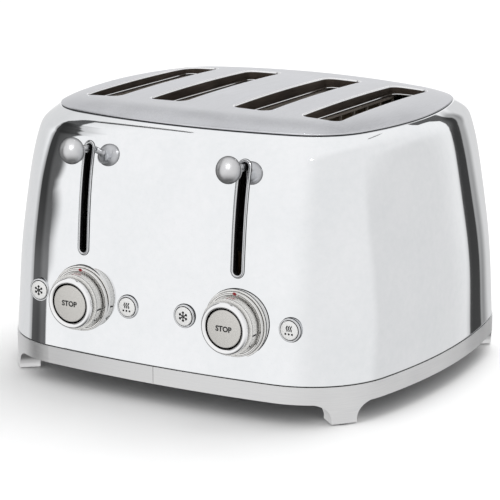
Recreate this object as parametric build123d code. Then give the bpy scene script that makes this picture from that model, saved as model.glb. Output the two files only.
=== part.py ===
from build123d import *
import math
import os

# Four-slot retro toaster, built as an assembly of separate pieces, in millimetres.
# +X is to the toaster's right as its front is faced, -Y is to the front and +Z is up.
# The pieces are placed from the middle of the body on the worktop. save() then moves them
# back, so that the origin is midway between the lever balls and the tray pulls.

# outside form
SEAM_Z = 29.0            # joint between the base band and the body
BAND_BOTTOM_Z = 15.9     # lower edge of the base band
TOP_Z = 214.0            # crown of the top plate
RIM_Z = TOP_Z - 10.85    # edge of the body that the top plate sits in
BAND_HALF_W = 168.8
BAND_HALF_D = 152.75
BAND_REVEAL = 0.4        # how far the body stands back from the band
BODY_HALF_W = BAND_HALF_W - BAND_REVEAL
BODY_HALF_D = BAND_HALF_D - BAND_REVEAL
SEAM_BOW_SIDE = 26.8     # rise of the bulged sides, front and back at the seam
SEAM_BOW_FRONT = 15.0
SEAM_CORNER = 70.2
RIM_BOW_SIDE = 31.0      # the same at the top plate's edge
RIM_BOW_FRONT = 25.0
RIM_CORNER = 52.0
# share of the way up from seam to rim, then how far the side walls have come in there,
# then how far the front and back walls have
PROFILE = (
    (0.0, 0.0, 0.0),
    (0.12, 0.2, 2.6),
    (0.25, 0.9, 4.6),
    (0.41, 3.3, 5.6),
    (0.55, 6.4, 7.0),
    (0.69, 9.6, 9.2),
    (0.82, 12.8, 12.7),
    (0.91, 16.0, 16.3),
    (0.96, 19.5, 21.4),
    (1.0, 25.5, 33.5),
)
SHELL_T = 1.2
LEDGE_W = 8.0            # turned-in edge that carries the top plate

# top plate and bread slots
PLATE_STEP = 0.6         # body edge left showing round the plate
DOME_R = 2200.0          # radius of the crown
EDGE_SLOPE = 0.42        # rise of the plate's sloped edge for each mm inward
EDGE_RUN = 30.0          # how far in the slope is drawn before the crown cuts it
EDGE_R = 60.0            # rounding between slope and crown
PLATE_T = 1.6
SLOT_MID_X = 0.38833 * BAND_HALF_W    # middle of each side's pair of slots
SLOT_PITCH = 0.34538 * BAND_HALF_W
SLOT_X = (SLOT_MID_X - SLOT_PITCH / 2, SLOT_MID_X + SLOT_PITCH / 2)
SLOT_W = 31.0
CONTROL_ROOM = 77.35     # room in front of the slots for the controls
SLOT_L = 2 * (BODY_HALF_D - CONTROL_ROOM)
SLOT_R = 7.0
COLLAR_T = 1.2           # sheet turned down round each slot
COLLAR_Z = TOP_Z - 10.5

# base
BAND_T = 2.5
BAND_GAP = 0.3           # between the two halves of the band
LIP_IN = 2.2             # upright lip that the body drops over
LIP_T = 1.4
LIP_H = 4.0
LEG_DEPTH = 14.0
LEG_TOP_W = 43.5
LEG_FOOT_W = 19.5
LEG_TAPER = 0.8          # share of the leg's height that its curved shoulder takes
LEG_X = BAND_HALF_W - 25.1
LEG_Y = BAND_HALF_D - 29.75
PAD_H = 1.2
PAD_R = 6.5
PAN_Z = 17.0
PAN_T = 1.5
PAN_TOP = PAN_Z + PAN_T
PAN_GAP = 0.3
SCREW_R = 1.5
SCREW_FREE = 0.15        # clearance round a screw's shank
SCREW_HEAD_R = 3.4
SCREW_HEAD_H = 1.8
SCREW_DEPTH = 9.0
SCREW_IN = 8.0           # screw axis to the outside of the corner

# clearances
RUN_GAP = 0.3            # between parts that slide past each other
SIT_GAP = 0.2            # between parts that only sit by each other
OPEN_GAP = 1.0           # round parts that pass through a sheet

# chassis, heaters and bread guides
CHASSIS_T = 1.2
CHASSIS_Y = SLOT_L / 2 + 8.4      # inner faces of the two end plates
CHASSIS_TOP = TOP_Z - 17.0
HEATER_OFF = 22.6        # outer and inner heaters to their slot's centre
HEATER_X = (SLOT_X[0] - HEATER_OFF, SLOT_MID_X, SLOT_X[1] + HEATER_OFF)
CHASSIS_HALF_W = HEATER_X[2] + 4.6
HEATER_T = 1.0
GUIDE_OFF = 16.6         # guide plane to slot centre with the carriage up
GUIDE_Z = (46.0, COLLAR_Z - 0.5)
HEATER_Z = (GUIDE_Z[0] - 6.0, RIM_Z - 3.2)
GUIDE_BAR = 2.0
GUIDE_WIRE_R = 0.8
GUIDE_WIRES = 8

# crumb trays
TRAY_OVER = 19.0         # how far a tray reaches past its slots' centres
TRAY_X = (SLOT_X[0] - TRAY_OVER, SLOT_X[1] + TRAY_OVER)
TRAY_Y0 = 3.4 - CHASSIS_Y
TRAY_T = 1.0
TRAY_TOP = 27.1
TRAY_INSIDE_Y = CHASSIS_Y + 24.0
TRAY_END = 8.0           # thickness of the end that fills the band's opening
PULL_W = 34.0
PULL_OUT = 7.0
GRIP_R = 3.5             # groove under the pull for the fingers
GRIP_OUT = 3.85

# dials
SIDE_X = SLOT_MID_X + 1.15            # middle of each side's lever, dial and buttons
DIAL_Z = 70.0
FLANGE_R = 25.3
FLANGE_H = 1.6
STEP_R = 24.0
STEP_H = 4.6
HUB_R = 20.0
HUB_DEEP = 8.0
BAND_R = 21.0            # number band of the dial
BAND_START = 5.2
BAND_END = 13.4
NECK_R = 17.0
RING_START = 14.6
RING_R = 19.2
RING_ROUND = 1.6
DIAL_END = 18.2
DIAL_TUBE_R = 3.6
STOP_R = 14.6
STOP_DEEP = 5.0
STOP_FACE = 17.5
STOP_ROUND = 0.8
STOP_TRAVEL = 1.5
STOP_STEM_R = 1.5

# small buttons
BUTTON_OFF = 42.1        # small buttons to the dial's axis
BUTTON_R = 7.2
BUTTON_ROUND = 0.7
BUTTON_RIM_R = 8.8
BUTTON_RIM_H = 1.6
BUTTON_RIM_DEEP = 4.0
BUTTON_HOLE_R = 8.2
BUTTON_FACE = 2.3
BUTTON_BODY = 9.0
BUTTON_STEM_R = 2.2
BUTTON_TRAVEL = 1.5

# levers and carriages
BEZEL_W = 10.5
BEZEL_LINE = 2.1         # width of the bezel's rim
BEZEL_LAP = 1.0          # part of the rim that laps over the body
BEZEL_PROUD = 1.0
BEZEL_DEEP = 3.0
LEVER_SLOT_Z = (DIAL_Z + FLANGE_R + 7.8, RIM_Z - 15.35)
ARM_W = 3.0
ARM_H = 4.8
ARM_PLAY = 0.85          # arm to the end of its slot, at each end of the travel
ARM_TOP = LEVER_SLOT_Z[1] - BEZEL_LINE - ARM_PLAY
ARM_Z = (ARM_TOP - ARM_H, ARM_TOP)
TRAVEL = ARM_Z[0] - (LEVER_SLOT_Z[0] + BEZEL_LINE + ARM_PLAY)
ARM_FOOT_H = 14.0
BALL_R = 9.0
BALL_STRETCH = 1.11      # the balls are a little taller than wide
BALL_Z = ARM_TOP - 0.6
STEM_Z = BALL_Z - 0.8
STEM_R = 2.4
CUP_R = 8.3              # flared neck behind the ball
CUP_LEN = 5.9
CUP_GAP = 1.6            # neck to the body at the bottom of the travel
BALL_OVER = 4.5          # ball's centre to the wide end of the neck
STEM_IN = 6.6
RAIL_Z = GUIDE_Z[0] + 1.0 + TRAVEL
RAIL_W = 7.0
RAIL_T = 3.0
RAIL_END_Y = CHASSIS_Y - 1.4
CARR_Y = -(CHASSIS_Y + CHASSIS_T + 6.4)
CARR_T = 1.5
CARR_Z = (RAIL_Z - 9.0, RAIL_Z + 7.0)
CARR_OVER = 6.5          # how far the carriage plate reaches past the rails' centres
RISER_HALF = 6.0
RISER_OVER = 2.0         # riser above the arm
DRIVE_OFF = 18.0         # guide rod and spring to the lever's plane
ROD_X = SIDE_X - DRIVE_OFF
ROD_Y = CARR_Y - 8.0
ROD_R = 3.0
ROD_FIT = 0.06
SLIDER_HALF = 7.0        # block that runs on the guide rod
SPRING_X = SIDE_X + DRIVE_OFF
SPRING_R = 3.6
SPRING_WIRE = 0.9
SPRING_TURNS = 9
SPRING_STEPS = 8
SEAT_HALF = 5.0          # tab that the spring stands on
SEAT_T = 2.0
SHELF_Y = ROD_Y - 7.0    # shelf at the top of the front plate
SHELF_HALF_W = SPRING_X + 17.0
KEEPER_H = 3.0
KEEPER_HALF = 10.0
COIL_OUT = 4.0
COIL_END = 3.0

# control boards
BOARD_Y = CARR_Y - 26.0
BOARD_T = 1.6
BOARD_Z = (DIAL_Z - 20.0, DIAL_Z + 22.0)
BOARD_HALF = 50.0
SWITCH_H = 4.5
SWITCH_HALF = 3.5
POT_R = 9.0
POT_H = 8.0
POST_R = 3.0
POST_HOLE_R = 1.0
POST_IN = 4.5            # posts in from the board's edges
POST_X = (SIDE_X - BOARD_HALF + POST_IN, SIDE_X + BOARD_HALF - POST_IN)
POST_Z = (BOARD_Z[0] + POST_IN, BOARD_Z[1] - POST_IN)

# air slots in the base pan
VENT_ROWS = 5
VENT_PITCH = 7.0
VENT_W = 20.0
VENT_H = 3.0
VENT_OFF = 27.0          # vent centres to the lever's plane
VENT_Y = ROD_Y - 5.0

# cord inlet
INLET_Z = 44.0
INLET_R = 3.5
INLET_RIM_R = 8.0
INLET_RIM_H = 2.0
INLET_HUB_R = 6.0
INLET_LEN = 9.0

SIDES = {-1: "left", 1: "right"}
ENDS = (-1, 1)


def block(x0, x1, y0, y1, z0, z1):
    """Box between two corners, given in any order."""
    mid = Pos((x0 + x1) / 2, (y0 + y1) / 2, (z0 + z1) / 2)
    return mid * Box(abs(x1 - x0), abs(y1 - y0), abs(z1 - z0))


def rod_x(x, y, z, length, radius):
    return Pos(x, y, z) * Rot(0, 90, 0) * Cylinder(radius, length)


def rod_y(x, z, y0, y1, radius):
    return Pos(x, (y0 + y1) / 2, z) * Rot(90, 0, 0) * Cylinder(radius, abs(y1 - y0))


def rod_z(x, y, z0, z1, radius):
    return Pos(x, y, (z0 + z1) / 2) * Cylinder(radius, abs(z1 - z0))


def slot_y(x, z0, z1, width, y0, y1):
    """Upright slot with round ends, run along Y."""
    r = width / 2
    body = block(x - r, x + r, y0, y1, z0 + r, z1 - r)
    return body + rod_y(x, z0 + r, y0, y1, r) + rod_y(x, z1 - r, y0, y1, r)


def prism(face, z0, z1):
    return Pos(0, 0, z0) * extrude(face, z1 - z0)


def rounded_front(solid, radius):
    """Rounds the foremost circular edge of a turned piece."""
    edges = solid.edges().filter_by(GeomType.CIRCLE).sort_by(Axis.Y)[:1]
    return fillet(edges, radius)


def corner_circle(half_w, half_d, bow_side, bow_front, corner):
    """Radii of the long arcs, their centres, and the centre of the corner arc between them."""
    r_front = (half_w ** 2 + bow_front ** 2) / (2 * bow_front)
    r_side = (half_d ** 2 + bow_side ** 2) / (2 * bow_side)
    front_c = (0.0, half_d - r_front)
    side_c = (half_w - r_side, 0.0)
    reach_f = r_front - corner
    reach_s = r_side - corner
    dx = side_c[0] - front_c[0]
    dy = side_c[1] - front_c[1]
    gap = math.hypot(dx, dy)
    along = (gap ** 2 + reach_f ** 2 - reach_s ** 2) / (2 * gap)
    across = math.sqrt(reach_f ** 2 - along ** 2)
    cx = front_c[0] + along * dx / gap + across * dy / gap
    cy = front_c[1] + along * dy / gap - across * dx / gap
    return r_front, r_side, front_c, side_c, (cx, cy)


def plan(half_w, half_d, bow_side, bow_front, corner):
    """Face in the XY plane: four shallow arcs joined by four corner arcs."""
    r_front, r_side, fc, sc, cc = corner_circle(half_w, half_d, bow_side, bow_front, corner)
    to_f = math.hypot(cc[0] - fc[0], cc[1] - fc[1])
    to_s = math.hypot(cc[0] - sc[0], cc[1] - sc[1])
    uf = ((cc[0] - fc[0]) / to_f, (cc[1] - fc[1]) / to_f)
    us = ((cc[0] - sc[0]) / to_s, (cc[1] - sc[1]) / to_s)
    mid_len = math.hypot(uf[0] + us[0], uf[1] + us[1])
    um = ((uf[0] + us[0]) / mid_len, (uf[1] + us[1]) / mid_len)
    tf = (fc[0] + r_front * uf[0], fc[1] + r_front * uf[1])
    ts = (sc[0] + r_side * us[0], sc[1] + r_side * us[1])
    tm = (cc[0] + corner * um[0], cc[1] + corner * um[1])
    arcs = [
        ((ts[0], -ts[1]), (half_w, 0), ts),
        (ts, tm, tf),
        (tf, (0, half_d), (-tf[0], tf[1])),
        ((-tf[0], tf[1]), (-tm[0], tm[1]), (-ts[0], ts[1])),
        ((-ts[0], ts[1]), (-half_w, 0), (-ts[0], -ts[1])),
        ((-ts[0], -ts[1]), (-tm[0], -tm[1]), (-tf[0], -tf[1])),
        ((-tf[0], -tf[1]), (0, -half_d), (tf[0], -tf[1])),
        ((tf[0], -tf[1]), (tm[0], -tm[1]), (ts[0], -ts[1])),
    ]
    return Face(Wire([ThreePointArc(*arc) for arc in arcs]))


def share_up(z):
    return (z - SEAM_Z) / (RIM_Z - SEAM_Z)


def insets(z):
    """Side and front insets of the body wall at a height."""
    t = share_up(z)
    for low, high in zip(PROFILE, PROFILE[1:]):
        if t <= high[0]:
            k = (t - low[0]) / (high[0] - low[0])
            return low[1] + k * (high[1] - low[1]), low[2] + k * (high[2] - low[2])
    return PROFILE[-1][1], PROFILE[-1][2]


def body_plan_sizes(z, inward):
    side_in, front_in = insets(z)
    t = share_up(z)
    return (BODY_HALF_W - side_in - inward,
            BODY_HALF_D - front_in - inward,
            SEAM_BOW_SIDE + t * (RIM_BOW_SIDE - SEAM_BOW_SIDE),
            SEAM_BOW_FRONT + t * (RIM_BOW_FRONT - SEAM_BOW_FRONT),
            SEAM_CORNER + t * (RIM_CORNER - SEAM_CORNER) - inward)


def front_y(x, z):
    """Y of the body's front face at a point of its middle arc."""
    half_w, half_d, _, bow, _ = body_plan_sizes(z, 0)
    radius = (half_w ** 2 + bow ** 2) / (2 * bow)
    return -(half_d - radius + math.sqrt(radius ** 2 - x ** 2))


def cup_y():
    """Front and back ends of a lever ball's flared neck."""
    back = front_y(SIDE_X, LEVER_SLOT_Z[0]) - CUP_GAP
    return back - CUP_LEN, back


def ball_y():
    return cup_y()[0] - BALL_OVER


def rear_face():
    """Y of the base band's rear face behind a crumb tray."""
    return BAND_REVEAL - front_y(SLOT_MID_X, SEAM_Z)


def save(shape, node):
    reach_front = BALL_R - ball_y()
    reach_rear = rear_face() + PULL_OUT
    back = Pos(0, (reach_front - reach_rear) / 2, 0)
    export_step(back * shape, "parts/" + node + ".step")


def body_solid(inward=0.0, top=RIM_Z):
    """The body's outside form as a solid, moved in by a distance."""
    heights = [SEAM_Z + row[0] * (RIM_Z - SEAM_Z) for row in PROFILE[:-1]] + [top]
    return loft([Pos(0, 0, z) * plan(*body_plan_sizes(z, inward)) for z in heights])


def crown(inward, drop):
    """Solid under the top plate: a sloped edge rounded into the very shallow crown."""
    outline = plan(*body_plan_sizes(RIM_Z, PLATE_STEP + inward))
    inner = plan(*body_plan_sizes(RIM_Z, PLATE_STEP + inward + EDGE_RUN))
    low = RIM_Z + PLATE_T - drop
    high = low + EDGE_RUN * EDGE_SLOPE
    solid = loft([Pos(0, 0, low) * outline, Pos(0, 0, high) * inner], ruled=True)
    if low > RIM_Z:
        solid += prism(outline, RIM_Z, low)
    solid &= Pos(0, 0, TOP_Z - DOME_R - drop) * Sphere(DOME_R)
    top_edges = solid.faces().sort_by(Axis.Z)[-1].edges()
    return fillet(top_edges, EDGE_R - drop)


def slot_prism(x, grow, z0, z1):
    shape = RectangleRounded(SLOT_W + 2 * grow, SLOT_L + 2 * grow, SLOT_R + grow)
    return Pos(x, 0, z0) * extrude(shape, z1 - z0)


def slot_centres():
    return [side * x for side in SIDES for x in SLOT_X]


def button_places():
    """Small buttons: kind, side and x of the axis."""
    places = []
    for side, word in SIDES.items():
        places.append(("defrost", word, side * SIDE_X - BUTTON_OFF))
        places.append(("reheat", word, side * SIDE_X + BUTTON_OFF))
    return places


def outer_shell(outer):
    shell = outer - body_solid(SHELL_T, RIM_Z - SHELL_T)
    opening = plan(*body_plan_sizes(RIM_Z, PLATE_STEP + LEDGE_W))
    shell -= prism(opening, RIM_Z - 2 * SHELL_T, RIM_Z + SHELL_T)
    z0 = LEVER_SLOT_Z[0] + BEZEL_LAP
    z1 = LEVER_SLOT_Z[1] - BEZEL_LAP
    for side in SIDES:
        x = side * SIDE_X
        shell -= slot_y(x, z0, z1, BEZEL_W - 2 * BEZEL_LAP, -BAND_HALF_D, BOARD_Y)
        shell -= rod_y(x, DIAL_Z, -BAND_HALF_D, BOARD_Y, HUB_R + SIT_GAP)
    for _, _, x in button_places():
        shell -= rod_y(x, DIAL_Z, -BAND_HALF_D, BOARD_Y, BUTTON_HOLE_R)
    return shell - rod_y(0, INLET_Z, -BOARD_Y, BAND_HALF_D, INLET_HUB_R + SIT_GAP)


def top_plate():
    """Domed sheet with a collar turned down round each bread slot."""
    under = crown(PLATE_T, PLATE_T)
    for x in slot_centres():
        under -= slot_prism(x, COLLAR_T, COLLAR_Z, TOP_Z)
    plate = crown(0, 0) - under
    for x in slot_centres():
        plate += slot_prism(x, COLLAR_T, COLLAR_Z, RIM_Z + COLLAR_T)
    for x in slot_centres():
        plate -= slot_prism(x, 0, COLLAR_Z, TOP_Z + PLATE_T)
    return plate


def band_outline(inward):
    return plan(BAND_HALF_W - inward, BAND_HALF_D - inward, SEAM_BOW_SIDE,
                SEAM_BOW_FRONT, SEAM_CORNER - inward)


def band_ring(outside, inside, z0, z1):
    """Ring that follows the band between two insets."""
    return prism(band_outline(outside), z0, z1) - prism(band_outline(inside), z0, z1)


def leg(side, end):
    """Corner leg with curved shoulders, cut from the band's own outline."""
    top = LEG_TOP_W / 2
    foot = LEG_FOOT_W / 2
    drop = BAND_BOTTOM_Z - PAD_H
    ankle = -drop * LEG_TAPER
    rise = PAN_Z - BAND_BOTTOM_Z
    lines = [
        Spline((-top, 0), (-foot, ankle), tangents=[(1, -0.25), (0.12, -1)]),
        Line((-foot, ankle), (-foot, -drop)),
        Line((-foot, -drop), (foot, -drop)),
        Line((foot, -drop), (foot, ankle)),
        Spline((foot, ankle), (top, 0), tangents=[(0.12, 1), (1, 0.25)]),
        Line((top, 0), (top, rise)),
        Line((top, rise), (-top, rise)),
        Line((-top, rise), (-top, 0)),
    ]
    spot = Vector(side * LEG_X, end * LEG_Y, BAND_BOTTOM_Z)
    out = Vector(side * LEG_X, end * LEG_Y, 0).normalized()
    along = Vector(0, 0, 1).cross(out)
    plane = Plane(origin=spot + out * LEG_TOP_W, x_dir=along, z_dir=-out)
    if plane.y_dir.Z < 0:
        plane = Plane(origin=spot + out * LEG_TOP_W, x_dir=-along, z_dir=-out)
    wedge = extrude(plane * Face(Wire(lines)), 2 * LEG_TOP_W)
    return band_ring(0, LEG_DEPTH, PAD_H, PAN_Z) & wedge


def screw_places(side):
    """Axes of the screws and pads at one side's two feet."""
    out = Vector(LEG_X, LEG_Y, 0).normalized()
    x = side * (LEG_X - SCREW_IN * out.X)
    return [(x, end * (LEG_Y - SCREW_IN * out.Y)) for end in ENDS]


def base_band(side):
    band = band_ring(0, BAND_T, BAND_BOTTOM_Z, SEAM_Z)
    band += band_ring(LIP_IN, LIP_IN + LIP_T, SEAM_Z - LIP_H, SEAM_Z + LIP_H)
    band = band & block(side * BAND_GAP / 2, side * 2 * BAND_HALF_W,
                        -2 * BAND_HALF_D, 2 * BAND_HALF_D, 0, 2 * SEAM_Z)
    x0 = side * (TRAY_X[0] - RUN_GAP)
    x1 = side * (TRAY_X[1] + RUN_GAP)
    band -= block(x0, x1, CHASSIS_Y, BAND_HALF_D + TRAY_END, PAN_TOP, TRAY_TOP + RUN_GAP)
    for end in ENDS:
        band += leg(side, end)
    for x, y in screw_places(side):
        band -= rod_z(x, y, PAN_Z - SCREW_DEPTH, PAN_Z, SCREW_R + SCREW_FREE)
    return band


def foot_pads():
    pads = [rod_z(x, y, 0, PAD_H, PAD_R) for side in SIDES for x, y in screw_places(side)]
    return Compound(pads)


def base_pan():
    pan = prism(band_outline(BAND_T + PAN_GAP), PAN_Z, PAN_TOP)
    for side in SIDES:
        for x, y in screw_places(side):
            pan -= rod_z(x, y, PAN_Z, PAN_TOP, SCREW_R + SCREW_FREE)
        for off in (-VENT_OFF, VENT_OFF):
            x = side * SIDE_X + off
            for row in range(VENT_ROWS):
                y = VENT_Y - VENT_PITCH * row
                pan -= block(x - VENT_W / 2, x + VENT_W / 2, y - VENT_H, y, PAN_Z, PAN_TOP)
    return pan


def base_screws():
    items = []
    for side in SIDES:
        for x, y in screw_places(side):
            shank = rod_z(x, y, PAN_Z - SCREW_DEPTH + SIT_GAP, PAN_TOP, SCREW_R)
            head = rod_z(x, y, PAN_TOP, PAN_TOP + SCREW_HEAD_H, SCREW_HEAD_R)
            items.append(shank + head)
    return Compound(items)


def crumb_tray(side):
    """Open tray with a thick rear end that fills the band's opening, and a pull."""
    z0 = PAN_TOP + RUN_GAP
    tray = block(side * TRAY_X[0], side * TRAY_X[1], TRAY_Y0, BAND_HALF_D + TRAY_END,
                 z0, TRAY_TOP)
    tray -= block(side * (TRAY_X[0] + TRAY_T), side * (TRAY_X[1] - TRAY_T),
                  TRAY_Y0 + TRAY_T, TRAY_INSIDE_Y, z0 + TRAY_T, SEAM_Z)
    tray = tray & prism(band_outline(0), z0, TRAY_TOP)
    x = side * SLOT_MID_X
    y = rear_face()
    pull = block(x - PULL_W / 2, x + PULL_W / 2, y - TRAY_END, y + PULL_OUT, z0, TRAY_TOP)
    return tray + (pull - rod_x(x, y + GRIP_OUT, z0, PULL_W, GRIP_R))


def chassis_front():
    """End plate with slots for the carriage rails, a top shelf and posts for the boards."""
    y0 = -CHASSIS_Y - CHASSIS_T
    plate = block(-CHASSIS_HALF_W, CHASSIS_HALF_W, y0, -CHASSIS_Y, PAN_TOP, CHASSIS_TOP)
    plate += block(-SHELF_HALF_W, SHELF_HALF_W, SHELF_Y, -CHASSIS_Y,
                   CHASSIS_TOP - CHASSIS_T, CHASSIS_TOP)
    half = RAIL_W / 2 + OPEN_GAP
    for x in slot_centres():
        plate -= block(x - half, x + half, y0, -CHASSIS_Y, RAIL_Z - TRAVEL - 2 * OPEN_GAP,
                       RAIL_Z + RAIL_T + 2 * OPEN_GAP)
    for side in SIDES:
        plate -= rod_z(side * ROD_X, ROD_Y, CHASSIS_TOP - CHASSIS_T, CHASSIS_TOP, ROD_R)
        for x in POST_X:
            for z in POST_Z:
                plate += rod_y(side * x, z, y0, BOARD_Y + BOARD_T, POST_R)
    return plate


def chassis_rear():
    y1 = CHASSIS_Y + CHASSIS_T
    plate = block(-CHASSIS_HALF_W, CHASSIS_HALF_W, CHASSIS_Y, y1, PAN_TOP, CHASSIS_TOP)
    for side in SIDES:
        plate -= block(side * (TRAY_X[0] - OPEN_GAP), side * (TRAY_X[1] + OPEN_GAP),
                       CHASSIS_Y, y1, PAN_TOP, TRAY_TOP + OPEN_GAP)
    return plate


def chassis_centre():
    half = CHASSIS_T / 2
    return block(-half, half, -CHASSIS_Y, CHASSIS_Y, PAN_TOP, HEATER_Z[1])


def heater(x):
    half = HEATER_T / 2
    y = CHASSIS_Y - SIT_GAP
    return block(x - half, x + half, -y, y, HEATER_Z[0], HEATER_Z[1])


def bread_guide(x):
    """Grille of upright wires between a top bar and a bottom bar."""
    half = GUIDE_BAR / 2
    r = GUIDE_WIRE_R
    y = CHASSIS_Y - RUN_GAP
    z0, z1 = GUIDE_Z
    grille = block(x - half, x + half, -y, y, z1 - GUIDE_BAR, z1)
    grille += block(x - half, x + half, -y, y, z0, z0 + GUIDE_BAR)
    pitch = SLOT_L / (GUIDE_WIRES - 1)
    for i in range(GUIDE_WIRES):
        wire_y = -SLOT_L / 2 + i * pitch
        grille += block(x - r, x + r, wire_y - r, wire_y + r, z0 + half, z1 - half)
    return grille


def carriage(side):
    """Plate across both slots with two rails, a riser, a keeper, a slider and a spring tab."""
    front = CARR_Y - CARR_T
    z0, z1 = CARR_Z
    plate = block(side * (SLOT_X[0] - CARR_OVER), side * (SLOT_X[1] + CARR_OVER),
                  front, CARR_Y, z0, z1)
    x = side * SIDE_X
    plate += block(x - RISER_HALF, x + RISER_HALF, front, CARR_Y, z0, ARM_TOP + RISER_OVER)
    plate += block(x - KEEPER_HALF, x + KEEPER_HALF, ROD_Y, CARR_Y, z0 - KEEPER_H, z0)
    rod = side * ROD_X
    plate += block(rod - SLIDER_HALF, rod + SLIDER_HALF, ROD_Y - SLIDER_HALF, CARR_Y, z0, z1)
    plate -= rod_z(rod, ROD_Y, z0, z1, ROD_R + ROD_FIT)
    seat = side * SPRING_X
    plate += block(seat - SEAT_HALF, seat + SEAT_HALF, ROD_Y - SEAT_HALF, CARR_Y,
                   z1 - SEAT_T, z1)
    for rail in SLOT_X:
        plate += block(side * rail - RAIL_W / 2, side * rail + RAIL_W / 2,
                       CARR_Y - CARR_T / 2, RAIL_END_Y, RAIL_Z, RAIL_Z + RAIL_T)
    return plate


def lever_arm(side):
    """Flat arm through the lever slot, with a foot that lies on the riser."""
    x = side * SIDE_X
    back = CARR_Y - CARR_T
    tip = cup_y()[1] + STEM_IN
    arm = block(x - ARM_W / 2, x + ARM_W / 2, tip, back, ARM_Z[0], ARM_Z[1])
    return arm + block(x - RISER_HALF, x + RISER_HALF, back - CARR_T, back,
                       ARM_Z[0] - ARM_FOOT_H, ARM_TOP + RISER_OVER)


def lever_ball(side):
    """Ball with a neck that flares out to it, and a round stem on the arm's tip."""
    x = side * SIDE_X
    front, back = cup_y()
    ball = Pos(x, ball_y(), BALL_Z) * scale(Sphere(BALL_R), by=(1, 1, BALL_STRETCH))
    cup = Pos(x, (front + back) / 2, STEM_Z) * Rot(-90, 0, 0) * Cone(CUP_R, STEM_R, CUP_LEN)
    return ball + cup + rod_y(x, STEM_Z, back - STEM_R / 2, back + STEM_IN, STEM_R)


def lever_bezel(side, outer):
    """Rim that laps over the body round the lever slot, with a neck into the wall."""
    x = side * SIDE_X
    z0, z1 = LEVER_SLOT_Z
    far = -BAND_HALF_D - BEZEL_DEEP
    raised = body_solid(-BEZEL_PROUD)
    rim = (slot_y(x, z0, z1, BEZEL_W, far, BOARD_Y) & raised) - outer
    lap = BEZEL_LAP + SIT_GAP / 2
    neck = slot_y(x, z0 + lap, z1 - lap, BEZEL_W - 2 * lap, far, BOARD_Y)
    neck = (neck & raised) - body_solid(BEZEL_DEEP)
    line = BEZEL_LINE
    return rim + neck - slot_y(x, z0 + line, z1 - line, BEZEL_W - 2 * line, far, BOARD_Y)


def guide_rod(side):
    return rod_z(side * ROD_X, ROD_Y, PAN_TOP, CHASSIS_TOP + CHASSIS_T, ROD_R)


def carriage_spring(side):
    """Coil of square wire between the shelf and the carriage."""
    bottom = CARR_Z[1]
    steps = SPRING_TURNS * SPRING_STEPS
    rise = (CHASSIS_TOP - CHASSIS_T - bottom - 2 * SPRING_WIRE) / steps
    points = []
    for i in range(steps + 1):
        angle = 2 * math.pi * i / SPRING_STEPS
        points.append((side * SPRING_X + SPRING_R * math.cos(angle),
                       ROD_Y + SPRING_R * math.sin(angle),
                       bottom + SPRING_WIRE + rise * i))
    path = Polyline(*points)
    start = Plane(origin=path @ 0, z_dir=path % 0)
    return sweep(start * Rectangle(SPRING_WIRE, SPRING_WIRE), path, transition=Transition.RIGHT)


def magnet(side):
    """Coil and core that hold the carriage's keeper at the bottom of the travel."""
    x = side * SIDE_X
    top = CARR_Z[0] - KEEPER_H - TRAVEL - RUN_GAP
    coil = block(x - KEEPER_HALF, x + KEEPER_HALF, ROD_Y - COIL_OUT, CARR_Y,
                 PAN_TOP + COIL_END, top - COIL_END)
    return coil + block(x - KEEPER_HALF / 2, x + KEEPER_HALF / 2, ROD_Y - COIL_OUT / 2,
                        CARR_Y - COIL_OUT / 2, PAN_TOP, top)


def dial_collar(side, outer):
    """Fixed stepped collar that the dial turns in front of."""
    x = side * SIDE_X
    face = front_y(x, DIAL_Z)
    back = face + HUB_DEEP
    outside = rod_y(x, DIAL_Z, face - FLANGE_H, back, FLANGE_R)
    outside += rod_y(x, DIAL_Z, face - STEP_H, back, STEP_R)
    collar = outside - outer
    collar += rod_y(x, DIAL_Z, face - FLANGE_H, back, HUB_R)
    return collar - rod_y(x, DIAL_Z, face - 2 * STEP_H, back, DIAL_TUBE_R + RUN_GAP)


def dial(side):
    """Number band, neck and rounded ring, bored for the stop button and its stem."""
    x = side * SIDE_X
    face = front_y(x, DIAL_Z)
    knob = rod_y(x, DIAL_Z, face - BAND_START, face - BAND_END, BAND_R)
    knob += rod_y(x, DIAL_Z, face - BAND_END, face - RING_START, NECK_R)
    ring = rod_y(x, DIAL_Z, face - RING_START, face - DIAL_END, RING_R)
    knob += rounded_front(ring, RING_ROUND)
    knob += rod_y(x, DIAL_Z, face - BAND_START, BOARD_Y - POT_H - RUN_GAP, DIAL_TUBE_R)
    recess = STOP_FACE - STOP_DEEP - STOP_TRAVEL - RUN_GAP
    knob -= rod_y(x, DIAL_Z, face - recess, face - 2 * DIAL_END, STOP_R + RUN_GAP)
    return knob - rod_y(x, DIAL_Z, BOARD_Y, face - DIAL_END, STOP_STEM_R + RUN_GAP)


def stop_button(side):
    x = side * SIDE_X
    back = front_y(x, DIAL_Z) - STOP_FACE + STOP_DEEP
    cap = rounded_front(rod_y(x, DIAL_Z, back - STOP_DEEP, back, STOP_R), STOP_ROUND)
    end = BOARD_Y - POT_H - RUN_GAP - STOP_TRAVEL
    return cap + rod_y(x, DIAL_Z, back, end, STOP_STEM_R)


def button_bezel(x, outer):
    """Rim round a small button, with a neck through the body wall."""
    face = front_y(x, DIAL_Z)
    back = face + BUTTON_RIM_DEEP
    rim = rod_y(x, DIAL_Z, face - BUTTON_RIM_H, back, BUTTON_RIM_R) - outer
    rim += rod_y(x, DIAL_Z, face - BUTTON_RIM_H, back, BUTTON_HOLE_R - SIT_GAP / 2)
    return rim - rod_y(x, DIAL_Z, face - 2 * BUTTON_RIM_H, back, BUTTON_R + RUN_GAP)


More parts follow.
